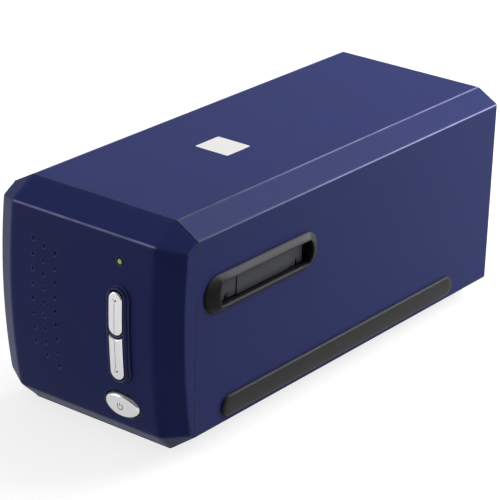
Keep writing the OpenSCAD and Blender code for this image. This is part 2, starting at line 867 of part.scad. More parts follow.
module scan_carriage() {
  color(colour_black) difference() {
    union() {
      difference() {
        box([-box_w / 2, box_y0, box_z0], [box_w / 2, box_y1, box_z1]);
        box([-box_w / 2 + box_t, box_y0 + box_t, box_z0 + box_t],
          [box_w / 2 - box_t, box_y1 - box_t, box_z1 + 1]);
      }
      // blocks of the two bushes
      for (y = bush_ys)
        box([-rod_x - 6, y, rod_z - 6], [-box_w / 2 + 1, y + bush_l, rod_z + 6]);
      // holder of the feed nut
      box([-rod_x - 5, nut_y + 1, screw_z - 6.5], [-box_w / 2 + 1, nut_y + nut_l - 2, screw_z + 6.5]);
      // fork on the side rod
      box([box_w / 2 - 1, -8, rod_z - 6], [rod_x + 5, 8, rod_z + 6]);
      // flag for the home sensor
      box([box_w / 2 - 1, 92, 19.6], [flag_x + 1.2, 97, 20.8]);
      box([flag_x, 92, 14], [flag_x + 1.2, 97, 20.8]);
      // block that the lens barrel lies in
      box([-lens_r + 1, lens_y + 4, box_z0], [lens_r - 1, lens_y + lens_l - 4, beam_z - 4]);
      // shelves of the mirror
      both_sides() mirror_shelf();
    }
    for (y = bush_ys)
      bar_y(-rod_x, rod_z, bush_r, y - 1, y + bush_l + 1);
    bar_y(-rod_x, screw_z, bush_r + 0.02, nut_y - 1, nut_y + nut_l + 1);
    box([rod_x - 5, -9, rod_z - rod_r - 0.1], [rod_x + 6, 9, rod_z + rod_r + 0.1]);
    bar_y(0, beam_z, lens_r + 0.1, lens_y - 1, lens_y + lens_l + 1);
    // slots for the sensor board and for its ribbon cable
    box([-11, box_y1 - box_t - 1, 52], [11, box_y1 + 1, 55]);
  }
}

// Wedge on the inner wall of the carriage that the mirror lies on
module mirror_shelf() {
  x0 = box_w / 2 - box_t - 3.5;
  translate([x0, scan_y, beam_z]) rotate([45, 0, 0])
    box([0, -14, -5.1], [4, 14, -2.1]);
}

module rod_bushes() {
  color(colour_brass) for (y = bush_ys) difference() {
    bar_y(-rod_x, rod_z, bush_r - 0.02, y, y + bush_l);
    bar_y(-rod_x, rod_z, rod_r + run_gap, y - 1, y + bush_l + 1);
  }
}

module optics_cover() {
  color(colour_black) difference() {
    box([-box_w / 2, box_y0, box_z1], [box_w / 2, box_y1, box_z1 + 1.6]);
    box([-20, scan_y - 4, box_z1 - 1], [20, scan_y + 4, box_z1 + 3]);
  }
}

module scan_mirror() {
  color(colour_silver) translate([0, scan_y, beam_z]) rotate([45, 0, 0])
    box([-22.5, -15, -2], [22.5, 15, 0]);
}

module lens_barrel() {
  color(colour_black) difference() {
    bar_y(0, beam_z, lens_r, lens_y, lens_y + lens_l);
    bar_y(0, beam_z, lens_r - 2.5, lens_y - 1, lens_y + lens_l + 1);
  }
}

// Two lens elements, each domed on its outer side
module lens_glass() {
  glass_r = lens_r - 2.52;
  dome_r = 18;
  color([0.7, 0.85, 0.9, 0.5]) for (s = [-1, 1])
    translate([0, lens_y + lens_l / 2 + s * (lens_l / 2 - 5), beam_z]) rotate([-90, 0, 0]) intersection() {
      translate([0, 0, -2.2]) cylinder(r = glass_r, h = 4.4, $fn = round_fn);
      translate([0, 0, s * (2.2 - dome_r)]) sphere(r = dome_r, $fn = 120);
    }
}

module sensor_board() {
  color(colour_board) box([-box_w / 2 + box_t + gap, sensor_y, box_z0 + box_t + gap],
    [box_w / 2 - box_t - gap, sensor_y + 1.6, box_z1 - gap]);
}

module line_sensor() {
  color(colour_black) difference() {
    box([-20, sensor_y - 3.4, beam_z - 4], [20, sensor_y, beam_z + 4]);
    box([-18, sensor_y - 4, beam_z - 1], [18, sensor_y - 2.8, beam_z + 1]);
  }
}

// ---------- lamp over the film ----------

arm_y = slot_y1 + scan_travel + 3;
arm_z0 = box_z1 + 1.6;
arm_w = 44;
lamp_z = 91.5;
lamp_top = 103;
lamp_l = 16;

module lamp_arm() {
  color(colour_black) {
    box([-arm_w / 2, arm_y, arm_z0], [arm_w / 2, arm_y + 22, arm_z0 + 2.5]);
    box([-arm_w / 2, arm_y, arm_z0], [arm_w / 2, arm_y + 4, lamp_top + 4]);
    box([-arm_w / 2, scan_y - lamp_l / 2, lamp_top], [arm_w / 2, arm_y + 2, lamp_top + 4]);
    // hood round the lamp
    difference() {
      box([-arm_w / 2, scan_y - lamp_l / 2, lamp_z], [arm_w / 2, scan_y + lamp_l / 2, lamp_top + 1]);
      box([-arm_w / 2 + 1.6, scan_y - lamp_l / 2 + 1.6, lamp_z - 1],
        [arm_w / 2 - 1.6, scan_y + lamp_l / 2 - 1.6, lamp_top]);
    }
    // gussets
    for (x = [-arm_w / 2, arm_w / 2 - 2.5])
      translate([x, 0, 0]) rotate([90, 0, 90]) linear_extrude(2.5)
        polygon([[arm_y + 3, arm_z0 + 1], [arm_y + 20, arm_z0 + 1], [arm_y + 3, arm_z0 + 22]]);
  }
}

module lamp_board() {
  color("white") {
    box([-19, scan_y - 5, lamp_top - 1.7], [19, scan_y + 5, lamp_top - 0.1]);
    for (i = [-5:5])
      box([i * 3.4 - 1, scan_y - 1, lamp_top - 2.6], [i * 3.4 + 1, scan_y + 1, lamp_top - 1.6]);
  }
}

module lamp_diffuser() {
  color([0.95, 0.95, 0.92]) box([-arm_w / 2 + 1.7, scan_y - lamp_l / 2 + 1.7, lamp_z + 0.3],
    [arm_w / 2 - 1.7, scan_y + lamp_l / 2 - 1.7, lamp_z + 1.8]);
}

// ---------- feed screw, gears and motor ----------

module feed_screw() {
  color(colour_steel) bar_y(-rod_x, screw_z, screw_r, screw_front_y, gear_y + gear_t + 1);
}

module feed_nut() {
  color(colour_brass) difference() {
    union() {
      bar_y(-rod_x, screw_z, bush_r, nut_y + 0.5, nut_y + nut_l);
      bar_y(-rod_x, screw_z, bush_r + 1.3, nut_y + nut_l - 2, nut_y + nut_l);
    }
    bar_y(-rod_x, screw_z, screw_r + run_gap, nut_y - 1, nut_y + nut_l + 1);
  }
}

module screw_bearings() {
  color(colour_brass) for (y = [screw_front_y, rear_upright_y - 1.5]) difference() {
    bar_y(-rod_x, screw_z, bearing_r, y, y + 4);
    bar_y(-rod_x, screw_z, screw_r + run_gap, y - 1, y + 5);
  }
}

// Spur gear of the given teeth in X and Z; its flanks are straight, with play at the pitch circle
module gear_shape(teeth) {
  pitch_r = gear_module * teeth / 2;
  root_r = pitch_r - 1.25 * gear_module;
  tip_r = pitch_r + 0.9 * gear_module;
  half_tooth = 90 / teeth * 0.86;
  union() {
    circle(r = root_r, $fn = round_fn);
    for (i = [0:teeth - 1])
      rotate(i * 360 / teeth)
        polygon([
          [root_r * 0.9 * cos(half_tooth * 1.5), -root_r * 0.9 * sin(half_tooth * 1.5)],
          [root_r * cos(half_tooth * 1.5), -root_r * sin(half_tooth * 1.5)],
          [pitch_r * cos(half_tooth), -pitch_r * sin(half_tooth)],
          [tip_r * cos(half_tooth * 0.45), -tip_r * sin(half_tooth * 0.45)],
          [tip_r * cos(half_tooth * 0.45), tip_r * sin(half_tooth * 0.45)],
          [pitch_r * cos(half_tooth), pitch_r * sin(half_tooth)],
          [root_r * cos(half_tooth * 1.5), root_r * sin(half_tooth * 1.5)],
          [root_r * 0.9 * cos(half_tooth * 1.5), root_r * 0.9 * sin(half_tooth * 1.5)]
        ]);
  }
}

// A tooth of the screw gear points up at the pinion, and a gap of the pinion points down at it
module screw_gear() {
  color("white") difference() {
    union() {
      translate([-rod_x, 0, screw_z]) stand(gear_y, gear_y + gear_t) rotate(90) gear_shape(gear_teeth);
      bar_y(-rod_x, screw_z, 4.5, gear_y, gear_y + gear_t + 1);
    }
    bar_y(-rod_x, screw_z, screw_r, gear_y - 1, gear_y + gear_t + 2);
  }
}

module motor_pinion() {
  color(colour_brass) {
    translate([-rod_x, 0, motor_z]) stand(gear_y, gear_y + gear_t)
      rotate(-90 + 180 / pinion_teeth) gear_shape(pinion_teeth);
    bar_y(-rod_x, motor_z, 1, rear_upright_y - 10, gear_y + gear_t + 0.5);
  }
}

module stepper_motor() {
  motor_y1 = rear_upright_y - 0.1;
  color(colour_silver) difference() {
    union() {
      bar_y(-rod_x, motor_z, motor_r, motor_y1 - motor_l, motor_y1);
      bar_y(-rod_x, motor_z, 2.8, motor_y1 - 1, motor_y1 + 2);
      box([-rod_x - 4, motor_y1 - motor_l + 3, motor_z + motor_r - 3],
        [-rod_x + 4, motor_y1 - 3, motor_z + motor_r + 3]);
    }
    bar_y(-rod_x, motor_z, 1 + run_gap, rear_upright_y - 10.5, motor_y1 + 5);
  }
}

module home_sensor() {
  color(colour_black) difference() {
    box([flag_x - 4, 90, frame_z + frame_t], [flag_x + 5, 99, 19]);
    box([flag_x - 1.4, 89, 13], [flag_x + 2.6, 100, 20]);
  }
}

// ---------- main board and sockets ----------

module main_board() {
  color(colour_board) difference() {
    box([-board_x, 34, board_z], [board_x, rear_panel_y - 1, board_z + board_t]);
    for (x = [-tall_post_x, tall_post_x], y = board_post_ys)
      translate([x, y, board_z - 1]) cylinder(r = 1.1, h = 5, $fn = 32);
  }
}

// Chips and connectors on the main board: X, Y, width, length and height
chips = [[0, 70, 20, 20, 1.6], [-28, 66, 12, 18, 1.2], [26, 66, 8, 14, 1.4], [26, 92, 12, 12, 1.6],
  [-30, 100, 8, 8, 1.2], [0, 42, 26, 5, 4], [-38, 46, 10, 5, 5]];

module board_chips() {
  color(colour_black) for (c = chips)
    box([c[0] - c[2] / 2, c[1] - c[3] / 2, socket_z], [c[0] + c[2] / 2, c[1] + c[3] / 2, socket_z + c[4]]);
}

module board_capacitors() {
  color(colour_steel) for (p = [[36, 108, 4, 11], [36, 120, 4, 11], [-36, 116, 3, 8], [8, 96, 2.5, 6]])
    translate([p[0], p[1], socket_z]) cylinder(r = p[2], h = p[3], $fn = 48);
}

module usb_socket() {
  y1 = rear_out_y - 0.4;
  color(colour_silver) difference() {
    box([usb_x - 6, y1 - 16, socket_z], [usb_x + 6, y1, socket_z + 10.8]);
    difference() {
      box([usb_x - 4.3, y1 - 9, socket_z + 1.5], [usb_x + 4.3, y1 + 1, socket_z + 9.3]);
      box([usb_x - 2.8, y1 - 10, socket_z + 3.8], [usb_x + 2.8, y1 - 1, socket_z + 7]);
    }
  }
}

module power_socket() {
  y1 = rear_out_y - 0.4;
  color(colour_black) difference() {
    union() {
      box([power_in_x - 4.6, y1 - 14, socket_z], [power_in_x + 4.6, y1 - 3.2, socket_z + 11]);
      bar_y(power_in_x, socket_z + 6, 4.6, y1 - 5, y1);
    }
    difference() {
      bar_y(power_in_x, socket_z + 6, 3.15, y1 - 9.5, y1 + 1);
      bar_y(power_in_x, socket_z + 6, 1, y1 - 10, y1 - 1);
    }
  }
}

// Flat cable from the sensor board, round the back of the carriage and up to the main board
module ribbon_cable() {
  loop_r = (board_z - 53.5) / 2;
  loop_y = box_y1 + 1.5;
  cable_t = 0.4;
  color("white") translate([-10, 0, 0]) rotate([90, 0, 90]) linear_extrude(20) {
    difference() {
      translate([loop_y, board_z - loop_r]) circle(r = loop_r - 0.1, $fn = round_fn);
      translate([loop_y, board_z - loop_r]) circle(r = loop_r - 0.1 - cable_t, $fn = round_fn);
      translate([loop_y - 20, 0]) square([20, 100]);
    }
    translate([sensor_y + 1.7, board_z - 2 * loop_r + 0.1]) square([loop_y - sensor_y - 1.7, cable_t]);
    translate([loop_y - 14, board_z - 0.1 - cable_t]) square([14, cable_t]);
  }
}

top_cover();
bottom_tray();
front_panel();
rear_panel();
upper_scan_button();
lower_scan_button();
power_button();
status_light();
blank_label();
right_slot_bezel();
left_slot_bezel();
right_dust_flap();
left_dust_flap();
right_flap_pin();
left_flap_pin();
right_flap_springs();
left_flap_springs();
right_side_strip();
left_side_strip();
rubber_feet();
case_screws();
button_board();
button_switches();
button_board_screws();
inner_frame();
frame_screws();
film_bed();
film_guide_cover();
film_bed_screws();
index_lever();
index_lever_pin();
index_roller();
index_spring();
main_guide_rod();
side_guide_rod();
scan_carriage();
rod_bushes();
optics_cover();
scan_mirror();
lens_barrel();
lens_glass();
sensor_board();
line_sensor();
lamp_arm();
lamp_board();
lamp_diffuser();
feed_screw();
feed_nut();
screw_bearings();
screw_gear();
motor_pinion();
stepper_motor();
home_sensor();
main_board();
board_chips();
board_capacitors();
usb_socket();
power_socket();
ribbon_cable();
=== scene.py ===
import math

import bmesh
import bpy
import numpy
from mathutils import Matrix, Vector


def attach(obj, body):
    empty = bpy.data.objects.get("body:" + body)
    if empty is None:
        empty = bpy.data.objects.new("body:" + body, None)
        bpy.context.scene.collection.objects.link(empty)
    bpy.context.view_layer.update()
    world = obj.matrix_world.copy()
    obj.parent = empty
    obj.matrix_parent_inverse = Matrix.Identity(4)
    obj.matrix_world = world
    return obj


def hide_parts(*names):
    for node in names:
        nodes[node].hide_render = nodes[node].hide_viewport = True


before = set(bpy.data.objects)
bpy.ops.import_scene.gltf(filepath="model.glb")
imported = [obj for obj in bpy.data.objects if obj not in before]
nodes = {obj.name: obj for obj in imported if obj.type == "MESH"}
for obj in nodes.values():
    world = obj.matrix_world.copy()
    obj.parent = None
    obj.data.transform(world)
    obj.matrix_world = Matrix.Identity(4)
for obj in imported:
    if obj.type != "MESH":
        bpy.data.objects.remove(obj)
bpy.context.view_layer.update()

# ---------- camera ----------
# A long lens, a little above the scanner and to the right of its front.
camera_azimuth = math.radians(37.116)
camera_elevation = math.radians(22.911)
camera_roll = math.radians(1.76)
camera_place = Vector((0.6638, -0.8797, 0.5199))
camera_lens = 168.67

level = math.cos(camera_elevation)
backward = Vector((
    math.sin(camera_azimuth) * level,
    -math.cos(camera_azimuth) * level,
    math.sin(camera_elevation),
))
rightward = Vector((math.cos(camera_azimuth), math.sin(camera_azimuth), 0))
upward = backward.cross(rightward)
turn = Matrix.Rotation(camera_roll, 3, backward)
camera_data = bpy.data.cameras.new("camera")
camera_data.lens = camera_lens
camera_data.sensor_width = 36
camera_data.clip_start = 0.05
camera = bpy.data.objects.new("camera", camera_data)
axes = Matrix((turn @ rightward, turn @ upward, backward)).transposed()
camera.matrix_world = Matrix.Translation(camera_place) @ axes.to_4x4()
bpy.context.collection.objects.link(camera)
bpy.context.scene.camera = camera

# ---------- floor and light ----------
# A pale matt table, one large soft lamp overhead and behind, and two weaker ones at the sides.
floor_half = 6.0
floor_grey = 0.28
floor_seen_grey = 0.33
floor_glow = 0.78
bright_direction = (-0.15, 0.9, 0.4)
sky_dark, sky_bright = 0.12, 0.6


def tune(material, **values):
    """Sets plain values of a material's shader."""
    shader = material.node_tree.nodes["Principled BSDF"]
    for name, value in values.items():
        shader.inputs[name.replace("_", " ")].default_value = value
    return shader


def new_material(name, colour, rough, metal=0.0, specular=0.5):
    material = bpy.data.materials.new(name)
    material.use_nodes = True
    shader = tune(material, Base_Color=colour, Roughness=rough, Metallic=metal,
                  Specular_IOR_Level=specular)
    return material, shader


def join(owner, source, target):
    getattr(owner, "node_tree", owner).links.new(source, target)


def feed(owner, socket, value):
    """Joins a socket to another one, or gives it a plain value."""
    if isinstance(value, bpy.types.NodeSocket):
        join(owner, value, socket)
    else:
        socket.default_value = value


def add_node(owner, kind, **sockets):
    """A node of a material, the world or a node tree, with its sockets fed by name."""
    node = getattr(owner, "node_tree", owner).nodes.new(kind)
    for name, value in sockets.items():
        feed(owner, node.inputs[name.replace("_", " ")], value)
    return node


def figure(owner, operation, *values, kind="ShaderNodeMath", output="Value"):
    """What a math node makes of sockets and plain values."""
    node = add_node(owner, kind)
    node.operation = operation
    for socket, value in zip(node.inputs, values):
        feed(owner, socket, value)
    return node.outputs[output]


def vector_figure(owner, operation, *values, output="Vector"):
    return figure(owner, operation, *values, kind="ShaderNodeVectorMath", output=output)


def ranged(owner, value, **limits):
    """A value taken from one range to another."""
    return add_node(owner, "ShaderNodeMapRange", Value=value, **limits).outputs["Result"]


def own_place(owner):
    """The object's own coordinates."""
    return add_node(owner, "ShaderNodeTexCoord").outputs["Object"]


def texture(material, kind, place, output="Fac", **sockets):
    return add_node(material, "ShaderNodeTex" + kind, Vector=place, **sockets).outputs[output]


def raised(material, shader, height, strength, distance):
    """Gives a shader a fine relief."""
    bump = add_node(material, "ShaderNodeBump", Strength=strength, Distance=distance,
                    Height=height)
    join(material, bump.outputs["Normal"], shader.inputs["Normal"])


def plain_mesh(name, bm):
    mesh = bpy.data.meshes.new(name)
    bm.to_mesh(mesh)
    bm.free()
    return mesh


def mesh_object(name, bm, smooth_angle=35, *materials):
    mesh = plain_mesh(name, bm)
    mesh.shade_smooth()
    mesh.set_sharp_from_angle(angle=math.radians(smooth_angle))
    for material in materials:
        mesh.materials.append(material)
    piece = bpy.data.objects.new(name, mesh)
    bpy.context.collection.objects.link(piece)
    return piece


floor_mesh = bmesh.new()
bmesh.ops.create_grid(floor_mesh, x_segments=1, y_segments=1, size=floor_half)
floor = mesh_object("table_top", floor_mesh)
floor_material, floor_shader = new_material(
    "pale matt table", (0.5, 0.5, 0.5, 1), 0.7, specular=0.0)
floor_grain = texture(floor_material, "Noise", own_place(floor_material), Scale=900.0, Detail=4.0)
raised(floor_material, floor_shader, floor_grain, 0.1, 0.00005)
# seen directly or in a reflection the table is white, but it throws back less light than that
ray = add_node(floor_material, "ShaderNodeLightPath")
seen = ray.outputs["Is Camera Ray"]
for kind in ("Is Glossy Ray", "Is Transmission Ray"):
    seen = figure(floor_material, "MAXIMUM", seen, ray.outputs[kind])
floor_shade = ranged(floor_material, seen, To_Min=floor_grey, To_Max=floor_seen_grey)
floor_light = ranged(floor_material, seen, To_Min=0.0, To_Max=floor_glow)
join(floor_material, floor_shade, floor_shader.inputs["Base Color"])
join(floor_material, floor_light, floor_shader.inputs["Emission Strength"])
tune(floor_material, Emission_Color=(1, 1, 1, 1))
floor.data.materials.append(floor_material)


def soft_lamp(name, place, target, size, watts):
    lamp_data = bpy.data.lights.new(name, "AREA")
    lamp_data.shape = "DISK"
    lamp_data.size = size
    lamp_data.energy = watts
    lamp = bpy.data.objects.new(name, lamp_data)
    lamp.location = place
    lamp.rotation_euler = (Vector(target) - Vector(place)).to_track_quat("-Z", "Y").to_euler()
    bpy.context.collection.objects.link(lamp)


soft_lamp("overhead lamp", (0.05, 0.9, 1.5), (0, 0, 0.05), 1.0, 14)
soft_lamp("left lamp", (-1.3, -1.3, 0.3), (0, 0, 0.06), 1.0, 10)
soft_lamp("right lamp", (0.4, 0.62, 0.42), (0, 0.02, 0.06), 0.4, 5.6)

world = bpy.data.worlds.new("studio")
world.use_nodes = True
bpy.context.scene.world = world
sky = world.node_tree.nodes["Background"]
direction = add_node(world, "ShaderNodeTexCoord").outputs["Generated"]
facing = vector_figure(world, "DOT_PRODUCT", direction, bright_direction, output="Value")
shade = ranged(world, facing, From_Min=-0.7, From_Max=0.8, To_Min=sky_dark, To_Max=sky_bright)
join(world, shade, sky.inputs["Strength"])
sky.inputs["Color"].default_value = (0.97, 0.98, 1.0, 1)
bpy.context.scene.view_settings.view_transform = "Standard"

# ---------- top cover ----------
# One injection moulding of navy ABS with a fine spark-eroded grain, for the top, the sides and
# their chamfers. Its outer edges are rounded, and four screws through the tray hold it.
cover_edge_r = 0.0007
shell_half_w = 0.05675
shell_h = 0.118
navy = (0.0138, 0.0205, 0.112, 1)
navy_light = (0.0172, 0.0258, 0.128, 1)
# light blue for the navy edges: wear and a painted highlight
navy_wear_highlight = (0.22, 0.24, 0.4, 1)
# the light blue of the painted highlight lines
navy_highlight = (0.34, 0.35, 0.58, 1)
chamfer_w = 0.0126
chamfer_h = 0.0071
# width and strength of the painted highlight lines
highlight_line_r = 0.0005
highlight_line_amount = 0.8
seam_y = -0.1163
# width and darkness of the painted shade along the seam
seam_shade_r = 0.0005
seam_shade_level = 0.5
cover_middle_z = 0.06
rear_rim_y = 0.13


def mix_colours(material, factor, first, second, blend_type="MIX"):
    node = add_node(material, "ShaderNodeMix")
    node.data_type = "RGBA"
    node.blend_type = blend_type
    for name, value in (("Factor", factor), ("A", first), ("B", second)):
        feed(material, node.inputs[name], value)
    return node.outputs["Result"]


def dress(material, shader, tint, gloss, rough_range):
    """Gives a shader its colour, and a roughness that varies over a range."""
    join(material, tint, shader.inputs["Base Color"])
    rough = ranged(material, gloss, To_Min=rough_range[0], To_Max=rough_range[1])
    join(material, rough, shader.inputs["Roughness"])


def moulded_plastic(name, colour, second_colour, rough, specular, grain=0.00045, depth=0.00002,
                    wear_and_highlight=(0.1, 0.12, 0.2, 1), wear_and_highlight_r=0.0006, wear_and_highlight_amount=0.35, dust_and_sheen=None,
                    painted_shade_reach=0.0009):
    """Grained moulded plastic with cloudy colour, uneven gloss, edges lightened by wear and a
    painted highlight, and painted shade in recesses.

    Dust, where it is given, is a lighter colour on faces that look up: fine dust and a painted
    sheen.
    """
    material, shader = new_material(name, colour, rough, specular=specular)
    place = own_place(material)
    cloud = texture(material, "Noise", place, Scale=38.0, Detail=5.0, Roughness=0.6)
    fine = texture(material, "Noise", place, Scale=1 / grain, Detail=3.0, Roughness=0.55)
    speck = texture(material, "Voronoi", place, "Distance", Scale=0.7 / grain)
    both = figure(material, "MULTIPLY_ADD", fine, 0.5, figure(material, "MULTIPLY", cloud, 0.5))
    share = ranged(material, both, From_Min=0.35, From_Max=0.65)
    tint = mix_colours(material, share, colour, second_colour)
    # edges lighter where the surface turns within the radius: rubbed wear and a painted highlight
    turned = add_node(material, "ShaderNodeBevel", Radius=wear_and_highlight_r)
    turned.samples = 4
    flat = add_node(material, "ShaderNodeNewGeometry")
    agree = vector_figure(material, "DOT_PRODUCT", turned.outputs["Normal"],
                          flat.outputs["True Normal"], output="Value")
    edge = ranged(material, agree, From_Min=0.995, From_Max=0.93, To_Max=wear_and_highlight_amount)
    rubbed_and_lit = figure(material, "MULTIPLY", edge, cloud)
    tint = mix_colours(material, rubbed_and_lit, tint, wear_and_highlight)
    # painted sheen and dust: faces that look up are lightened
    if dust_and_sheen:
        split = add_node(material, "ShaderNodeSeparateXYZ", Vector=flat.outputs["Normal"])
        dust_and_sheen_share = ranged(material, split.outputs["Z"], From_Min=0.1, From_Max=0.9, To_Max=0.9)
        tint = mix_colours(material, dust_and_sheen_share, tint, dust_and_sheen)
    # painted shade: gaps and corners are darkened where other surfaces lie close
    near = add_node(material, "ShaderNodeAmbientOcclusion", Distance=painted_shade_reach)
    near.samples = 6
    painted_shade_share = ranged(material, near.outputs["AO"], From_Min=0.35, From_Max=0.85, To_Min=0.12)
    tint = mix_colours(material, 1.0, tint, painted_shade_share, "MULTIPLY")
    dress(material, shader, tint, cloud, (rough - 0.05, rough + 0.05))
    raised(material, shader, figure(material, "ADD", fine, speck), 0.35, depth)
    return material


def recolour(material, factor, colour, blend_type="MIX"):
    """Mixes a second colour over the one that a material has."""
    base = material.node_tree.nodes["Principled BSDF"].inputs["Base Color"]
    below = base.links[0].from_socket
    join(material, mix_colours(material, factor, below, colour, blend_type), base)


def paint_edge_highlights(material, runs):
    """Painted highlight lines along long straight edges: each run is an axis, a place and a half
    width.

    An edge along Y is given by X, which counts for both sides, and Z. One along X is by Y and Z.
    """
    place = own_place(material)
    cloud = texture(material, "Noise", place, Scale=90.0, Detail=3.0)
    patchy = ranged(material, cloud, From_Min=0.3, From_Max=0.6, To_Min=0.55)
    strongest = 0.0
    for axis, across, z, reach in runs:
        if axis == "Y":
            beside = vector_figure(material, "MULTIPLY", place, (1, 0, 1))
            beside = vector_figure(material, "ABSOLUTE", beside)
            spot = (across, 0, z)
        else:
            beside = vector_figure(material, "MULTIPLY", place, (0, 1, 1))
            spot = (0, across, z)
        away = vector_figure(material, "DISTANCE", beside, spot, output="Value")
        line = ranged(material, away, From_Min=reach, From_Max=reach * 0.4,
                      To_Max=highlight_line_amount)
        strongest = figure(material, "MAXIMUM", strongest, line)
    recolour(material, figure(material, "MULTIPLY", strongest, patchy), navy_highlight)


def paint_seam_shade(material):
    """A dark line of painted shade all round where the cover and the front panel meet."""
    along = vector_figure(material, "MULTIPLY", own_place(material), (0, 1, 0))
    away = vector_figure(material, "DISTANCE", along, (0, seam_y, 0), output="Value")
    line = ranged(material, away, From_Min=seam_shade_r * 0.5, From_Max=seam_shade_r,
                  To_Min=seam_shade_level)
    recolour(material, 1.0, line, "MULTIPLY")


def node_copy(node, name, materials, width, picks, body="casing", segments=3, smooth_angle=32):
    """A copy of a solid with its seams merged and the picked sharp edges rounded."""
    bm = bmesh.new()
    bm.from_mesh(nodes[node].data)
    bmesh.ops.remove_doubles(bm, verts=bm.verts, dist=1e-6)
    bmesh.ops.dissolve_limit(bm, angle_limit=0.003, verts=bm.verts, edges=bm.edges)
    weight = bm.edges.layers.float.new("bevel_weight_edge")
    for edge in bm.edges:
        if len(edge.link_faces) != 2 or not edge.is_convex:
            continue
        if edge.calc_face_angle(0) < math.radians(14):
            continue
        edge[weight] = picks(edge)
    piece = mesh_object(name, bm, smooth_angle, *materials)
    rounding = piece.modifiers.new("rounded edges", "BEVEL")
    rounding.limit_method = "WEIGHT"
    rounding.width = width
    rounding.segments = segments
    rounding.use_clamp_overlap = False
    rounding.harden_normals = True
    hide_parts(node)
    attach(piece, body)
    return piece


def middle(edge):
    return (edge.verts[0].co + edge.verts[1].co) / 2


def faces_out(edge, middle_z, least):
    """Whether both faces at an edge look away from the casing's middle line, or along it."""
    place = middle(edge)
    outwards = Vector((place.x, 0, place.z - middle_z))
    return all(face.normal.dot(outwards) > least or abs(face.normal.y) > 0.9
               for face in edge.link_faces)


def cover_edges(edge):
    """The four long edges where the slopes meet the top and the sides, and the rear rim."""
    place = middle(edge)
    run = edge.verts[0].co - edge.verts[1].co
    on_skin = max(abs(place.x) / shell_half_w, place.z / shell_h) > 0.985
    if not on_skin or not faces_out(edge, cover_middle_z, 0.01):
        return 0.0
    if any(abs(face.normal.y) > 0.9 for face in edge.link_faces):
        return 1.0 if place.y > rear_rim_y else 0.3
    return 0.9 if abs(run.normalized().y) > 0.9 and edge.calc_length() > 0.1 else 0.0


# the cover: a strong painted highlight on its edges, painted shade in its recesses
navy_grained = moulded_plastic("navy grained plastic", navy, navy_light, 0.46, 0.09,
                               wear_and_highlight=navy_wear_highlight, wear_and_highlight_r=0.0006, wear_and_highlight_amount=0.9)
# painted highlight lines where the chamfers meet the top and the sides
cover_highlight_lines = (
    ("Y", shell_half_w - chamfer_w, shell_h, highlight_line_r),
    ("Y", shell_half_w, shell_h - chamfer_h, highlight_line_r),
)
paint_edge_highlights(navy_grained, cover_highlight_lines)
# painted shade along the seam with the front panel
paint_seam_shade(navy_grained)
cover = node_copy("top_cover", "navy_top_cover", [navy_grained], cover_edge_r, cover_edges)

# ---------- front panel ----------
# A second navy moulding, bowed from top to bottom, with bevelled bands round it, a raised rim
# round the two scan keys and three columns of small dents. All its creases are softly rounded.
panel_bow = 0.0169
panel_bow_r = 0.318
panel_bow_z = 0.075
panel_face_w = 0.0876
panel_face_top = 0.1092
panel_face_bottom = 0.0109
panel_band_drop = 0.0079
panel_low_z = 0.0134
base_slope_w, base_slope_h = 0.0142, 0.0105
foot_gap = 0.001
crease_softness = 0.0003
skin_inset = 0.00008
skin_pitch = 0.0011
skin_middle_z = 0.0595
skin_face_reach = 0.04218
clear_front_y = -0.145
rim_x, rim_z0, rim_z1, rim_half_w = 0.0241, 0.0356, 0.0851, 0.0061
rim_edge_r = 0.0009
rim_proud = 0.0024
rim_spare = 0.0001
rim_back_y = -0.122
well_x, well_z = 0.0234, 0.0228
well_half_w, well_half_h, well_depth = 0.0115, 0.0074, 0.0015
# place along X, height of the top dent, pitch and number of dents
dent_columns = (
    (-0.0294, 0.0944, 0.00767, 8), (-0.0227, 0.0922, 0.00715, 9),
    (-0.0156, 0.0903, 0.00741, 9),
)
dent_half_w, dent_half_h, dent_depth, dent_slope = 0.0008, 0.0009, 0.0009, 0.0009
brow_highlight_r = 0.0009


def bow_y(z):
    drop = math.sqrt(panel_bow_r ** 2 - (z - panel_bow_z) ** 2) - panel_bow_r
    return seam_y - panel_bow - drop


def plane(point, normal):
    normal = Vector(normal).normalized()
    return lambda p: p @ numpy.array(normal) - Vector(point).dot(normal)


def panel_planes():
    """Signed distances to the flat sides of the panel, for its right half."""
    w, h = shell_half_w, shell_h
    top_a = Vector((w - chamfer_w, seam_y, h))
    top_b = Vector((w, seam_y, h - chamfer_h))
    top_f = Vector((panel_face_w / 2, bow_y(panel_face_top), panel_face_top))
    low_a = Vector((w - base_slope_w, seam_y, foot_gap))
    low_d = Vector((w, bow_y(panel_low_z) + panel_band_drop, panel_low_z))
    low_g = Vector((panel_face_w / 2, bow_y(panel_face_bottom), panel_face_bottom))
    across = Vector((1, 0, 0))
    return [
        plane((w, 0, 0), (1, 0, 0)),
        plane((0, 0, h), (0, 0, 1)),
        plane((0, 0, foot_gap), (0, 0, -1)),
        plane(top_a, (chamfer_h, 0, chamfer_w)),
        plane((w, 0, foot_gap + base_slope_h), (base_slope_h, 0, -base_slope_w)),
        plane(top_a, (top_f - top_a).cross(across)),
        plane(low_a, across.cross(low_g - low_a)),
        plane(top_a, (top_f - top_a).cross(top_b - top_a)),
        plane(low_a, (low_d - low_a).cross(low_g - low_a)),
    ]


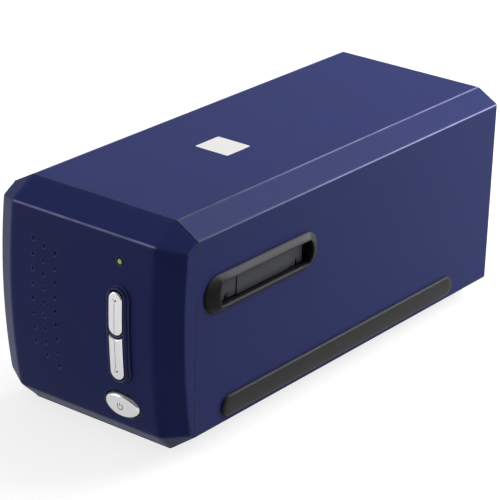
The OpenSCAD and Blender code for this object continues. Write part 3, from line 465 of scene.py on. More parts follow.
def panel_depth(p):
    """Distance outside the panel's outer form, with its creases rounded; p is an array."""
    q = numpy.array(p, dtype=float)
    q[:, 0] = abs(q[:, 0])
    sides = [side(q) for side in panel_sides]
    front = seam_y - panel_bow
    sides.append(numpy.hypot(q[:, 1] - front - panel_bow_r, q[:, 2] - panel_bow_z) - panel_bow_r)
    # the side band is a wider bow, turned about the upright line where the face ends
    band_angle = math.atan2(panel_band_drop, shell_half_w - panel_face_w / 2)
    band_r = panel_bow_r / math.cos(band_angle)
    off_x = q[:, 0] - panel_face_w / 2
    across = (q[:, 1] - front) * math.cos(band_angle) - off_x * math.sin(band_angle)
    sides.append(numpy.hypot(across - band_r, q[:, 2] - panel_bow_z) - band_r)
    sides = numpy.array(sides)
    peak = sides.max(axis=0)
    shares = numpy.exp((sides - peak) / crease_softness)
    return peak + crease_softness * numpy.log(shares.sum(axis=0))


def walk(a, b, steps):
    return [Vector(a).lerp(Vector(b), i / steps) for i in range(steps)]


def around(centre, radius, angle):
    return centre + radius * Vector((math.cos(angle), math.sin(angle)))


def arc(centre, radius, start, end, steps):
    turn_by = (end - start) / steps
    return [around(centre, radius, start + i * turn_by) for i in range(steps)]


def bridge(bm, loops):
    """The faces from each loop of corners to the next."""
    faces = []
    for first, second in zip(loops, loops[1:]):
        for i in range(len(first)):
            j = (i + 1) % len(first)
            faces.append(bm.faces.new((first[i], first[j], second[j], second[i])))
    return faces


def skin_over(bm, loops):
    """A closed skin over loops of corners, with a flat face at each end."""
    bridge(bm, loops)
    bm.faces.new(loops[0])
    bm.faces.new(loops[-1])


def capped(bm, rows):
    """A closed skin over rows of points, with a flat face at each end."""
    skin_over(bm, [[bm.verts.new(point) for point in row] for row in rows])


def closed_object(name, bm, *angle_and_materials):
    """An object with a closed skin, whose normals are turned outwards."""
    bmesh.ops.recalc_face_normals(bm, faces=bm.faces)
    return mesh_object(name, bm, *angle_and_materials)


def prism_y(bm, outline, y0, y1):
    """An upright outline of X, Z points drawn out from y0 to y1."""
    capped(bm, [[(x, y, z) for x, z in outline] for y in (y0, y1)])


def panel_skin():
    """The outer form as a closed block that reaches back past the seam."""
    w, h = shell_half_w, shell_h
    corners = [
        (w, foot_gap + base_slope_h), (w, h - chamfer_h), (w - chamfer_w, h),
        (-w + chamfer_w, h), (-w, h - chamfer_h), (-w, foot_gap + base_slope_h),
        (-w + base_slope_w, foot_gap), (w - base_slope_w, foot_gap),
    ]
    ring = []
    for start, end in zip(corners, corners[1:] + corners[:1]):
        length = (Vector(end) - Vector(start)).length
        ring += walk(start, end, max(4, round(length / skin_pitch)))
    centre = numpy.array((0, seam_y, skin_middle_z))
    rays = numpy.array([(point.x, 0, point.y - centre[2]) for point in ring])
    rays /= numpy.linalg.norm(rays, axis=1)[:, None]
    # steps that are even over the face, then turns that are even over the bands
    tilts = [math.atan2(panel_bow, skin_face_reach * i / 40) for i in range(1, 41)]
    tilts += [tilts[-1] * (1 - i / 56) for i in range(1, 57)]
    rows = []
    for tilt in tilts:
        aim = rays * math.cos(tilt) + numpy.array((0, -math.sin(tilt), 0))
        near, far = numpy.zeros(len(aim)), numpy.full(len(aim), 0.1)
        for _ in range(34):
            half = (near + far) / 2
            outside = panel_depth(centre + aim * half[:, None]) > -skin_inset
            far = numpy.where(outside, half, far)
            near = numpy.where(outside, near, half)
        rows.append(centre + aim * near[:, None])
    rows.append(rows[-1] * (1, 0, 1) + (0, seam_y + 0.02, 0))
    bm = bmesh.new()
    capped(bm, rows)
    return closed_object("panel form", bm)


def upright_block(x, z0, z1, half_w, y0, y1, steps=32):
    """A block with round ends, standing out towards the front."""
    low = Vector((x, z0 + half_w))
    high = Vector((x, z1 - half_w))
    bm = bmesh.new()
    prism_y(bm, arc(low, half_w, math.pi, math.pi * 2, steps)
            + arc(high, half_w, 0, math.pi, steps), y0, y1)
    return closed_object("round-ended block", bm)


def applied_mesh(piece):
    """The mesh that an object's modifiers make."""
    evaluated = piece.evaluated_get(bpy.context.evaluated_depsgraph_get())
    return bpy.data.meshes.new_from_object(evaluated)


def settle(piece):
    """Applies a piece's modifiers, so that it is a plain mesh."""
    mesh = applied_mesh(piece)
    piece.modifiers.clear()
    piece.data = mesh


def combine(piece, other, operation):
    """Adds, cuts or keeps what two closed meshes share, and removes the second one."""
    step = piece.modifiers.new("join", "BOOLEAN")
    step.operation = operation
    step.solver = "EXACT"
    step.object = other
    settle(piece)
    bpy.data.objects.remove(other)


def form_normals(piece, depth, inset):
    """Gives the corners that lie on a smooth form the normals of that form."""
    mesh = piece.data
    normals = numpy.array([normal.vector for normal in mesh.corner_normals])
    points = numpy.array([mesh.vertices[loop.vertex_index].co for loop in mesh.loops])
    flats = numpy.zeros_like(points)
    for face in mesh.polygons:
        flats[list(face.loop_indices)] = face.normal
    step = 2e-6
    slope = numpy.stack([
        depth(points + axis * step) - depth(points - axis * step) for axis in numpy.eye(3)
    ], axis=1)
    slope /= numpy.linalg.norm(slope, axis=1)[:, None]
    on_form = abs(depth(points) + inset) < 1.2e-5
    on_form &= (slope * flats).sum(axis=1) > 0.85
    normals[on_form] = slope[on_form]
    mesh.normals_split_custom_set([tuple(normal) for normal in normals])


def oval_outline(x, z, half_w, half_h, steps=32):
    turns = [i * 2 * math.pi / steps for i in range(steps)]
    return [(x + half_w * math.cos(a), z + half_h * math.sin(a)) for a in turns]


def rim_edges(edge):
    place = middle(edge)
    outward = all(
        face.normal.y < -0.5 or abs(face.normal.z) > 0.5 or face.normal.x * (place.x - rim_x) > 0
        for face in edge.link_faces
    )
    beside = abs(place.x - rim_x) < rim_half_w + 0.0005
    beside = beside and rim_z0 - 0.0003 < place.z < rim_z1 + 0.0003
    return 1.0 if outward and beside and place.y < bow_y(place.z) - rim_proud * 0.75 else 0.0


def power_well():
    """The shallow oval well round the power key, as the space that is cut from the panel."""
    bm = bmesh.new()
    prism_y(bm, oval_outline(well_x, well_z, well_half_w, well_half_h, 72), clear_front_y,
            bow_y(well_z) + well_depth)
    return closed_object("power key well", bm)


def dent_slopes():
    """The wedges below the dents that give each one a sloped lower end."""
    bm = bmesh.new()
    for x, top_z, pitch, count in dent_columns:
        for i in range(count):
            z = top_z - i * pitch
            back, low = bow_y(z) + dent_depth, z - dent_half_h
            front = back - dent_depth * 1.5
            profile = ((back, low + 0.0001), (back, low), (front, low - dent_slope * 1.5),
                       (front, low + 0.0001))
            capped(bm, [[(x + off, y, z) for y, z in profile]
                        for off in (-dent_half_w, dent_half_w)])
    return closed_object("dent slopes", bm)


panel_sides = panel_planes()
# the front: a painted highlight on its edges, painted shade in the dents and round the keys
navy_front = moulded_plastic("navy grained front plastic", navy, navy_light, 0.46, 0.09,
                             wear_and_highlight=navy_wear_highlight, wear_and_highlight_r=0.0006, wear_and_highlight_amount=0.9,
                             painted_shade_reach=0.0006)
# painted highlight lines along the cover's edges and the brow of the face
paint_edge_highlights(navy_front, cover_highlight_lines + (
    ("X", bow_y(panel_face_top), panel_face_top, brow_highlight_r),))
# painted shade along the seam with the cover
paint_seam_shade(navy_front)
panel = node_copy("front_panel", "navy_front_panel", [navy_front], rim_edge_r, rim_edges)
settle(panel)
skin = panel_skin()
combine(skin, upright_block(rim_x, rim_z0 - rim_spare, rim_z1 + rim_spare,
                            rim_half_w + rim_spare, clear_front_y, rim_back_y), "UNION")
combine(panel, skin, "INTERSECT")
combine(panel, power_well(), "DIFFERENCE")
combine(panel, dent_slopes(), "DIFFERENCE")
form_normals(panel, panel_depth, skin_inset)

# ---------- bottom tray ----------
# The lower part of the casing, of the same navy plastic, with sloped sides that tuck in under
# the cover. The cover's screws come up through it.
tray_middle_z = 0.03


def tray_edges(edge):
    place = middle(edge)
    low = place.z < foot_gap + 0.0003 and abs(place.x) > 0.04
    wide = abs(place.x) > shell_half_w - 0.0002
    if edge.calc_length() < 0.05 or not faces_out(edge, tray_middle_z, 0.005):
        return 0.0
    return 0.9 if low or wide else 0.0


tray = node_copy("bottom_tray", "navy_bottom_tray", [navy_grained], cover_edge_r, tray_edges)

# ---------- rear panel ----------
# A flat navy plate let into the back, with openings for the sockets and the security slot.


def rear_edges(edge):
    place = middle(edge)
    facing_back = any(face.normal.y > 0.9 for face in edge.link_faces)
    return 0.5 if facing_back and place.y > 0.1345 else 0.0


rear = node_copy("rear_panel", "navy_rear_panel", [navy_grained], cover_edge_r, rear_edges)

# ---------- film slot bezels ----------
# A black ABS ring round each slot, broad at its front end and rising to a ridge at the mouth.
# The square tube behind it passes through the cover's wall and holds the flap's pin.
film_y = -0.0662
bezel_y0 = film_y - 0.045
bezel_y1 = film_y + 0.042
bezel_z0 = 0.0709
bezel_z1 = 0.0901
mouth_y0 = film_y - 0.0355
mouth_y1 = film_y + 0.0355
mouth_z0 = 0.0745
mouth_z1 = 0.0865
mouth_rear_r = 0.009
# share of the way from the outer to the inner outline, and height over the side
ring_section = (
    (0.0, -0.0004), (0.0, 0.0003), (0.012, 0.0006), (0.04, 0.0009), (0.1, 0.00122),
    (0.25, 0.00167), (0.4, 0.0021), (0.55, 0.00253), (0.7, 0.0029), (0.78, 0.00308),
    (0.85, 0.00318), (0.9, 0.0032), (0.94, 0.00312), (0.97, 0.00292), (0.99, 0.0026),
    (1.0, 0.0021), (1.0, -0.0004),
)
tube_back_x = 0.0522
tube_wall = 0.0018
tube_top = 0.0892
tube_roof = 0.001
black = (0.008, 0.008, 0.009, 1)
black_worn = (0.014, 0.014, 0.015, 1)
# light grey for the black edges: wear and a painted highlight
black_wear_highlight = (0.16, 0.16, 0.16, 1)
# grey for the black's up-facing faces: dust and a painted sheen
grey_dust_and_sheen = (0.088, 0.088, 0.1, 1)
arc_steps = 24
line_steps = 10


def round_ended(y0, y1, z0, z1, line_count, arc_count):
    """A lying outline in (y, z) with half round ends: top, rear, bottom, front."""
    r = (z1 - z0) / 2
    rear, front = Vector((y1 - r, z0 + r)), Vector((y0 + r, z0 + r))
    return (
        walk((front.x, z1), (rear.x, z1), line_count)
        + arc(rear, r, math.pi / 2, -math.pi / 2, arc_count)
        + walk((rear.x, z0), (front.x, z0), line_count)
        + arc(front, r, -math.pi / 2, -math.pi * 1.5, arc_count)
    )


def side_loops(bm, outer, inner, section):
    """Loops of corners on the side of the casing, each at a share of the way and a height."""
    loops = []
    for share, height in section:
        points = [o.lerp(i, share) for o, i in zip(outer, inner)]
        loops.append([bm.verts.new((shell_half_w + height, *point)) for point in points])
    return loops


def ring_outlines():
    """Outer and inner outline in (y, z), point for point: top, rear, bottom, front."""
    outer = round_ended(bezel_y0, bezel_y1, bezel_z0, bezel_z1, line_steps, arc_steps)
    lean = math.asin((mouth_z1 - mouth_z0) / 2 / mouth_rear_r)
    centre = Vector((mouth_y1 - mouth_rear_r, (mouth_z0 + mouth_z1) / 2))
    corner_y = centre.x + mouth_rear_r * math.cos(lean)
    inner = (
        walk((mouth_y0, mouth_z1), (corner_y, mouth_z1), line_steps)
        + arc(centre, mouth_rear_r, lean, -lean, arc_steps)
        + walk((corner_y, mouth_z0), (mouth_y0, mouth_z0), line_steps)
        + walk((mouth_y0, mouth_z0), (mouth_y0, mouth_z1), arc_steps)
    )
    return outer, inner


def slot_bezel(name, node, side):
    bm = bmesh.new()
    loops = side_loops(bm, *ring_outlines(), ring_section)
    faces = bridge(bm, loops + loops[:1])
    # the last two rows, down the mouth and along the back, are inside
    for face in faces[-2 * len(loops[0]):]:
        face.material_index = 1
    # the tube through the wall: four slabs round the flap's space
    front, end = shell_half_w - 0.0002, tube_back_x
    y0, y1 = mouth_y0, mouth_y1
    slabs = (
        ((y0 - tube_wall, mouth_z0 - tube_wall), (y1 + tube_wall, mouth_z0)),
        ((y0 - tube_wall, tube_top), (y1 + tube_wall, tube_top + tube_roof)),
        ((y0 - tube_wall, mouth_z0), (y0, tube_top)),
        ((y1, mouth_z0), (y1 + tube_wall, tube_top)),
    )
    for low, high in slabs:
        low, high = Vector((end, *low)), Vector((front, *high))
        place = Matrix.LocRotScale((low + high) / 2, None, high - low)
        slab = bmesh.ops.create_cube(bm, size=1, matrix=place)["verts"]
        for corner in slab:
            for face in corner.link_faces:
                face.material_index = 1
    if side < 0:
        bmesh.ops.scale(bm, vec=(-1, 1, 1), verts=bm.verts)
    piece = closed_object(name, bm, 50, black_satin, black_inside)
    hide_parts(node)
    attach(piece, "casing")


# the bezel: a painted highlight on its ridge, a painted sheen on its top lip, painted shade in the
# slot and under the flap
black_satin = moulded_plastic("black satin plastic", black, black_worn, 0.38, 0.07,
                              grain=0.0003, depth=0.000008, wear_and_highlight=black_wear_highlight, wear_and_highlight_r=0.0006,
                              wear_and_highlight_amount=0.9, dust_and_sheen=grey_dust_and_sheen, painted_shade_reach=0.0035)
black_inside = moulded_plastic("clean black plastic", black, black_worn, 0.45, 0.08,
                               grain=0.0003, depth=0.000008, wear_and_highlight=black_wear_highlight, wear_and_highlight_r=0.0004,
                               painted_shade_reach=0.0035)
slot_bezel("right_black_bezel", "right_slot_bezel", 1)
slot_bezel("left_black_bezel", "left_slot_bezel", -1)

# ---------- side strips ----------
# A long domed strip of black rubber low on each side, glued in a shallow channel.
strip_y0 = -0.09628
strip_y1 = 0.10038
strip_z0 = 0.0138
strip_z1 = 0.0247
strip_line_steps, strip_arc_steps = 40, 32
# share of the way from the edge to the middle line, and height over the side
strip_section = (
    (0.0, -0.0002), (0.0, 0.0003), (0.03, 0.0009), (0.09, 0.00125), (0.2, 0.00148),
    (0.4, 0.00161), (0.7, 0.00168), (0.98, 0.0017),
)
# grey for the strip's upper faces: dust and a painted sheen
rubber_dust_and_sheen = (0.036, 0.036, 0.043, 1)


def side_strip(name, node, side):
    outline = round_ended(strip_y0, strip_y1, strip_z0, strip_z1, strip_line_steps,
                          strip_arc_steps)
    r = (strip_z1 - strip_z0) / 2
    spine = [Vector((min(max(point.x, strip_y0 + r), strip_y1 - r), strip_z0 + r))
             for point in outline]
    bm = bmesh.new()
    skin_over(bm, side_loops(bm, outline, spine, strip_section))
    if side < 0:
        bmesh.ops.scale(bm, vec=(-1, 1, 1), verts=bm.verts)
    bmesh.ops.remove_doubles(bm, verts=bm.verts, dist=1e-6)
    piece = closed_object(name, bm, 50, black_rubber)
    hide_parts(node)
    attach(piece, "casing")


black_rubber = moulded_plastic("black moulded rubber", (0.011, 0.011, 0.012, 1),
                               (0.018, 0.018, 0.019, 1), 0.45, 0.16, grain=0.0005,
                               depth=0.000015, wear_and_highlight=black_wear_highlight, wear_and_highlight_r=0.0004, wear_and_highlight_amount=0.05,
                               dust_and_sheen=rubber_dust_and_sheen)
side_strip("right_rubber_strip", "right_side_strip", 1)
side_strip("left_rubber_strip", "left_side_strip", -1)

# ---------- scan buttons ----------
# Two long keys of silver-painted ABS in one rim, each with a rolled edge and a fine upright
# groove. They press 0.8 mm on the dome switches behind them. Three printed dots stand for
# each key's symbol.
silver = (0.75, 0.75, 0.755, 1)
silver_shade = (0.68, 0.68, 0.69, 1)
key_r = 0.004
key_edge_r = 0.0007
key_proud = 0.0028
key_flange_y = (-0.1243, -0.1233)
key_flange_w = 0.0016
stem_r = 0.0015
stem_end_y = -0.12085
upper_key_z = (0.061, 0.083)
lower_key_z = (0.0377, 0.0558)
lower_key_hollow = 0.0058
groove_x = (-0.00055, -0.0003)
groove_depth = 0.0002
# offsets from the middle of the dots and radius, in mm
key_dots = ((-1.0, 0.5, 0.28), (-0.3, -0.3, 0.32), (0.5, 0.2, 0.46))
print_depth = 0.00004


def stack_loops(bm, pole, loops):
    """A closed skin over a row of loops, from a pole in front to a flat back."""
    first = loops[0]
    for start, end in zip(first, first[1:] + first[:1]):
        bm.faces.new((pole, start, end))
    bridge(bm, loops)
    bm.faces.new(loops[-1])


def box_outline(x0, x1, z0, z1):
    return [(x0, z0), (x1, z0), (x1, z1), (x0, z1)]


def key_outline(inset, hollow):
    """Points round a key at an inset from its edge, each with the spot its rays start from."""
    z0, z1 = lower_key_z if hollow else upper_key_z
    r = key_r - inset
    low, high = Vector((rim_x, z0 + key_r)), Vector((rim_x, z1 if hollow else z1 - key_r))
    points = [(around(low, r, a), low) for a in numpy.linspace(math.pi, 2 * math.pi, 25)]
    if hollow:
        centre = Vector((rim_x, upper_key_z[0] + key_r))
        reach = lower_key_hollow + inset
        side_z = centre.y - math.sqrt(reach ** 2 - r ** 2)
        swing = math.asin(r / reach)
        turns = numpy.linspace(swing, -swing, 25)
        top = [(centre + Vector((math.sin(a), -math.cos(a))) * reach, high) for a in turns]
    else:
        side_z = high.y
        top = [(around(high, r, a), high) for a in numpy.linspace(0, math.pi, 25)]
    rise = numpy.linspace(low.y, side_z, 26)[1:-1]
    points += [(Vector((rim_x + r, z)), Vector((rim_x, min(z, high.y)))) for z in rise]
    points += top
    points += [(Vector((rim_x - r, z)), Vector((rim_x, min(z, high.y)))) for z in rise[::-1]]
    return points


def scan_key(name, hollow, flange, stem_z):
    bm = bmesh.new()
    rows = [(share, key_edge_r, 0.0) for share in (0.0, 0.25, 0.5, 0.75, 1.0)]
    for a in numpy.linspace(0, math.pi / 2, 7)[1:]:
        rows.append((1.0, key_edge_r * (1 - math.sin(a)), key_edge_r * (1 - math.cos(a))))
    loops = []
    for share, inset, sink in rows:
        loop = []
        for point, start in key_outline(inset, hollow):
            spot = start.lerp(point, share)
            loop.append(bm.verts.new((spot.x, bow_y(spot.y) - key_proud + sink, spot.y)))
        loops.append(loop)
    loops.append([bm.verts.new((p.x, key_flange_y[1], p.y)) for p, _ in key_outline(0.0, hollow)])
    bridge(bm, loops)
    bm.faces.new(loops[-1])
    # the folded middle line of the first row closes on itself
    bmesh.ops.remove_doubles(bm, verts=loops[0], dist=0.000002)
    half_w = key_r + key_flange_w
    prism_y(bm, box_outline(rim_x - half_w, rim_x + half_w, *flange), *key_flange_y)
    prism_y(bm, oval_outline(rim_x, stem_z, stem_r, stem_r), key_flange_y[1] - 0.0002, stem_end_y)
    return closed_object(name, bm)


def groove_cutter(z0, z1):
    """The space of a key's groove, with a floor that follows the bowed face."""
    bm = bmesh.new()
    profile = [(bow_y(z) - key_proud + groove_depth, z) for z in numpy.linspace(z0, z1, 16)]
    profile += [(clear_front_y, z1), (clear_front_y, z0)]
    capped(bm, [[(rim_x + x, y, z) for y, z in profile] for x in groove_x])
    return closed_object("groove", bm)


# near-white edges on the keys: wear and a painted highlight
silver_paint = moulded_plastic("silver paint", silver, silver_shade, 0.24, 0.5, grain=0.00012,
                               depth=0.000002, wear_and_highlight=(0.9, 0.9, 0.9, 1), wear_and_highlight_r=0.0003,
                               wear_and_highlight_amount=0.3)
tune(silver_paint, Metallic=0.92)
dark_print = moulded_plastic("dark grey print", (0.05, 0.05, 0.055, 1), (0.07, 0.07, 0.075, 1),
                             0.4, 0.3, grain=0.0002, depth=0.000002)
# node, piece, body, hollow top, and the heights of the flange, stem, groove and dots
keys = (
    ("upper_scan_button", "upper_silver_key", "upper_button", False, (0.066, 0.0846), 0.072,
     (0.061, 0.077), 0.0786),
    ("lower_scan_button", "lower_silver_key", "lower_button", True, (0.0361, 0.0543), 0.0505,
     (0.0437, 0.0633), 0.0421),
)
for key_node, key_name, key_body, hollow, flange, stem_z, groove, dots_z in keys:
    key = scan_key(key_name, hollow, flange, stem_z)
    combine(key, groove_cutter(groove[0] - 0.001 * (not hollow), groove[1]), "DIFFERENCE")
    key.data.materials.clear()
    key.data.materials.append(silver_paint)
    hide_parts(key_node)
    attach(key, key_body)
    dots = bmesh.new()
    for off_x, off_z, radius in key_dots:
        spot = (rim_x + off_x / 1000, dots_z + off_z / 1000)
        face_y = bow_y(spot[1]) - key_proud
        prism_y(dots, oval_outline(*spot, radius / 1000, radius / 1000, 20),
                face_y - print_depth, face_y + 0.0003)
    mark = closed_object(key_name + "_dots", dots, 35, dark_print)
    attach(mark, key_body)

# ---------- power button ----------
# An oval key, silver painted, with a low dome and a rolled edge. It carries a plain power
# symbol, printed in grey: an open ring with a bar.
dome_x, dome_z = 0.0234, 0.0228
dome_half_w, dome_half_h = 0.0104, 0.0063
dome_flange_w, dome_flange_h = 0.0119, 0.0078
dome_r = 0.045
dome_proud = 0.002
dome_edge_r = 0.0015
dome_skirt = 0.0052
dome_flange_y = bow_y(dome_z) + 0.005
dome_steps = 96
symbol_r = 0.0017
symbol_line = 0.00036
symbol_gap = math.radians(38)
dome_tilt = math.asin((panel_bow_z - dome_z) / panel_bow_r)
dome_base = Vector((dome_x, bow_y(dome_z), dome_z))
dome_out = Vector((0, -math.cos(dome_tilt), -math.sin(dome_tilt)))
dome_up = Vector((0, -math.sin(dome_tilt), math.cos(dome_tilt)))


def dome_point(u, v, lift=0.0):
    """The dome's surface at u across and v up from its middle, in metres."""
    height = dome_proud - (u * u + v * v) / (2 * dome_r) + lift
    return dome_base + Vector((1, 0, 0)) * u + dome_up * v + dome_out * height


def power_dome():
    bm = bmesh.new()
    rings = [(i / 14 * (1 - dome_edge_r / dome_half_h), 0.0) for i in range(1, 14)]
    for i in range(9):
        a = math.pi / 2 * i / 8
        inset = dome_edge_r * (1 - math.sin(a))
        rings.append((1 - inset / dome_half_h, -dome_edge_r * (1 - math.cos(a))))
    rings += [(1.0, -dome_edge_r - 0.0015), (1.0, -dome_skirt)]
    loops = []
    for share, lift in rings:
        loop = []
        for i in range(dome_steps):
            a = 2 * math.pi * i / dome_steps
            if share > 0.8:
                inset = (1 - share) * dome_half_h
                u, v = dome_half_w - inset, dome_half_h - inset
            else:
                u, v = dome_half_w * share, dome_half_h * share
            loop.append(bm.verts.new(dome_point(u * math.cos(a), v * math.sin(a), lift)))
        loops.append(loop)
    stack_loops(bm, bm.verts.new(dome_point(0, 0)), loops)
    # the flange behind the panel and the stem that meets the switch
    flange = oval_outline(dome_x, dome_z, dome_flange_w, dome_flange_h, dome_steps)
    stem = oval_outline(dome_x, dome_z, stem_r, stem_r)
    prism_y(bm, flange, dome_flange_y, dome_flange_y + 0.001)
    prism_y(bm, stem, dome_flange_y + 0.0008, stem_end_y)
    return closed_object("oval_power_key", bm, 40, silver_paint)


def symbol_stroke(bm, path):
    """A printed line on the dome, as a closed strip a few hundredths of a millimetre proud."""
    rows = []
    for i, point in enumerate(path):
        along = (path[min(i + 1, len(path) - 1)] - path[max(i - 1, 0)]).normalized()
        out = Vector((-along.y, along.x)) * symbol_line / 2
        rows.append([
            dome_point(*(point + out * side), lift)
            for side, lift in ((-1, print_depth), (1, print_depth), (1, -0.0002), (-1, -0.0002))
        ])
    capped(bm, rows)


power_key = power_dome()
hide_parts("power_button")
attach(power_key, "power_key")
strokes = bmesh.new()
ring_angles = numpy.linspace(math.pi / 2 + symbol_gap, math.pi * 2.5 - symbol_gap, 41)
symbol_stroke(strokes, [around(Vector((0, 0)), symbol_r, a) for a in ring_angles])
symbol_stroke(strokes, [Vector((0, symbol_r * share)) for share in (0.05, 0.6, 1.25)])
power_symbol = closed_object("power_symbol", strokes, 35, dark_print)
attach(power_symbol, "power_key")

# ---------- status light ----------
# A light guide of clear green plastic, turned to a dome at its front end and lit from behind.
light_x, light_z = 0.0239, 0.0971
light_r = 0.0013
light_foot_r = 0.0019
holder_r = 0.00164
holder_flange_r = 0.0019
light_back_y = -0.1174
light_foot_y = light_back_y - 0.0015
light_dome_y = bow_y(light_z) + 0.0007


def light_loops(bm, section):
    """Round loops about the light's axis: each has a radius and a place along Y."""
    return [
        [bm.verts.new((x, y, z)) for x, z in oval_outline(light_x, light_z, radius, radius, 40)]
        for radius, y in section
    ]


def light_guide():
    bm = bmesh.new()
    section = [(light_r * math.sin(a), light_dome_y - light_r * math.cos(a))
               for a in numpy.linspace(0, math.pi / 2, 13)[1:]]
    section += [(light_r, light_foot_y), (light_foot_r, light_foot_y), (light_foot_r, light_back_y)]
    pole = bm.verts.new((light_x, light_dome_y - light_r, light_z))
    stack_loops(bm, pole, light_loops(bm, section))
    return closed_object("green_light_guide", bm, 40, green_clear)


def light_holder():
    """The black tube that holds the light guide in the panel's hole."""
    bm = bmesh.new()
    face_y = bow_y(light_z)
    bore_r = light_r + 0.00002
    loops = light_loops(bm, (
        (bore_r, face_y + 0.0032), (bore_r, face_y), (holder_r, face_y - 0.00015),
        (holder_flange_r, face_y - 0.00005), (holder_flange_r, face_y + 0.0002),
        (holder_r, face_y + 0.0002), (holder_r, face_y + 0.0032),
    ))
    bridge(bm, loops + loops[:1])
    return closed_object("black_light_holder", bm, 30, black_satin)


green_clear = moulded_plastic("clear green plastic", (0.14, 0.32, 0.05, 1), (0.25, 0.48, 0.1, 1),
                              0.12, 0.5, grain=0.0006, depth=0.000002)
tune(green_clear, Emission_Color=(0.35, 0.62, 0.14, 1), Emission_Strength=0.3,
     Transmission_Weight=0.25)
light = light_guide()
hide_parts("status_light")
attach(light, "casing")
holder = light_holder()
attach(holder, "casing")

# ---------- label ----------
# A small sticker of white coated paper on the cover, left blank, with round corners. It lies
# uneven by a hundredth of a millimetre.
label_low, label_high = Vector((-0.0105, -0.036)), Vector((0.0098, -0.0176))
label_middle = (label_low + label_high) / 2
label_thick = 0.00012
label_corner_r = 0.0008
label_wave = 0.00001
label_columns, label_rows = 24, 22


def paper_label():
    bm = bmesh.new()
    columns, rows = label_columns, label_rows
    layers = []
    for top in (True, False):
        grid = []
        for i in range(columns + 1):
            line = []
            for j in range(rows + 1):
                x = label_low.x + (label_high.x - label_low.x) * i / columns
                y = label_low.y + (label_high.y - label_low.y) * j / rows
                # points beyond the rounding of a corner are drawn in onto it
                to_x = label_corner_r - min(x - label_low.x, label_high.x - x)
                to_y = label_corner_r - min(y - label_low.y, label_high.y - y)
                past = math.hypot(to_x, to_y) - label_corner_r
                if to_x > 0 and to_y > 0 and past > 0:
                    x += math.copysign(past * 0.7, label_middle.x - x)
                    y += math.copysign(past * 0.7, label_middle.y - y)
                wave = label_wave * math.sin(x * 900) * math.sin(y * 700)
                z = shell_h + (label_thick + wave if top else 0.00001)
                line.append(bm.verts.new((x, y, z)))
            grid.append(line)
        layers.append(grid)
    for grid in layers:
        for i in range(columns):
            for j in range(rows):
                bm.faces.new((grid[i][j], grid[i + 1][j], grid[i + 1][j + 1], grid[i][j + 1]))
    upper, lower = layers
    border = [(i, 0) for i in range(columns)] + [(columns, j) for j in range(rows)]
    border += [(i, rows) for i in range(columns, 0, -1)] + [(0, j) for j in range(rows, 0, -1)]
    for (i, j), (k, m) in zip(border, border[1:] + border[:1]):
        bm.faces.new((upper[i][j], upper[k][m], lower[k][m], lower[i][j]))
    return closed_object("blank_paper_label", bm, 40)


label = paper_label()
label.data.materials.append(moulded_plastic(
    "coated white paper", (0.735, 0.715, 0.7, 1), (0.775, 0.76, 0.75, 1), 0.5, 0.3, grain=0.0004,
    depth=0.000006, wear_and_highlight=(0.65, 0.64, 0.62, 1), wear_and_highlight_r=0.0003))
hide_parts("blank_label")
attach(label, "casing")

# ---------- dust flaps ----------
# A dark grey flap hangs on a steel pin behind each slot, with a raised middle and two notches.
# A film holder pushes it open, and two coil springs close it again.
flap_edge_r = 0.00025
pin_x, pin_z = 0.0546, 0.0856
spring_r = 0.00135
spring_wire = 0.0002
spring_turns = 6.5
spring_l = 0.0032
spring_leg_l = 0.006
spring_starts = (mouth_y0 + 0.0004, mouth_y1 - 0.0039)
flap_front_x = 0.056
flap_low_z = 0.075
middle_top_z = 0.0827
flap_top_z = 0.0864
flap_round_top_z = 0.0838
middle_proud = 0.00045
middle_half = 0.02005
notch_ys = (-0.0945, -0.0399)
notch_half = 0.00125
notch_top_z = 0.0783
plug_half = 0.0015
plug_top_z = 0.0779


def prism_x(profile, depths, side):
    """A solid from Y, Z points, each row at its own X depth, on the given side."""
    rows = []
    for depth in depths:
        if isinstance(depth, float):
            depth = [depth] * len(profile)
        rows.append([(side * x, y, z) for x, (y, z) in zip(depth, profile)])
    bm = bmesh.new()
    capped(bm, rows)
    return closed_object("flap part", bm)


def shape_flap(flap, side):
    """Makes the raised middle a wedge that fades out upwards, and the notches pointed."""
    settle(flap)
    y0, y1 = film_y - middle_half, film_y + middle_half
    proud = flap_front_x + middle_proud
    flush = flap_front_x - 0.00002
    for z0, z1, low_x, high_x in ((flap_low_z, middle_top_z, proud, proud),
                                  (middle_top_z, flap_top_z, proud, flush)):
        depths = (flap_front_x - 0.0004, (low_x, low_x, high_x, high_x))
        combine(flap, prism_x(box_outline(y0, y1, z0, z1), depths, side), "UNION")
    for y in notch_ys:
        # the square notch of the rough form is filled, then the pointed one is cut
        plug = box_outline(y - plug_half, y + plug_half, flap_low_z, plug_top_z)
        combine(flap, prism_x(plug, (flap_front_x - 0.0011, flap_front_x), side), "UNION")
        point = [(y - notch_half, flap_low_z - 0.0005), (y + notch_half, flap_low_z - 0.0005),
                 (y + notch_half * 0.2, notch_top_z), (y - notch_half * 0.2, notch_top_z)]
        cutter = prism_x(point, (flap_front_x - 0.003, flap_front_x + 0.001), side)
        combine(flap, cutter, "DIFFERENCE")
    flap.data.materials.clear()
    flap.data.materials.append(flap_grey)
    # flat faces next to sharp edges: the rounding's own normals no longer fit the cut mesh
    flap.data.attributes.remove(flap.data.attributes["custom_normal"])
    flap.data.set_sharp_from_angle(angle=math.radians(20))


def flap_edges(edge):
    place = middle(edge)
    return 1.0 if place.z < flap_round_top_z and edge.calc_face_angle(0) > 0.7 else 0.0


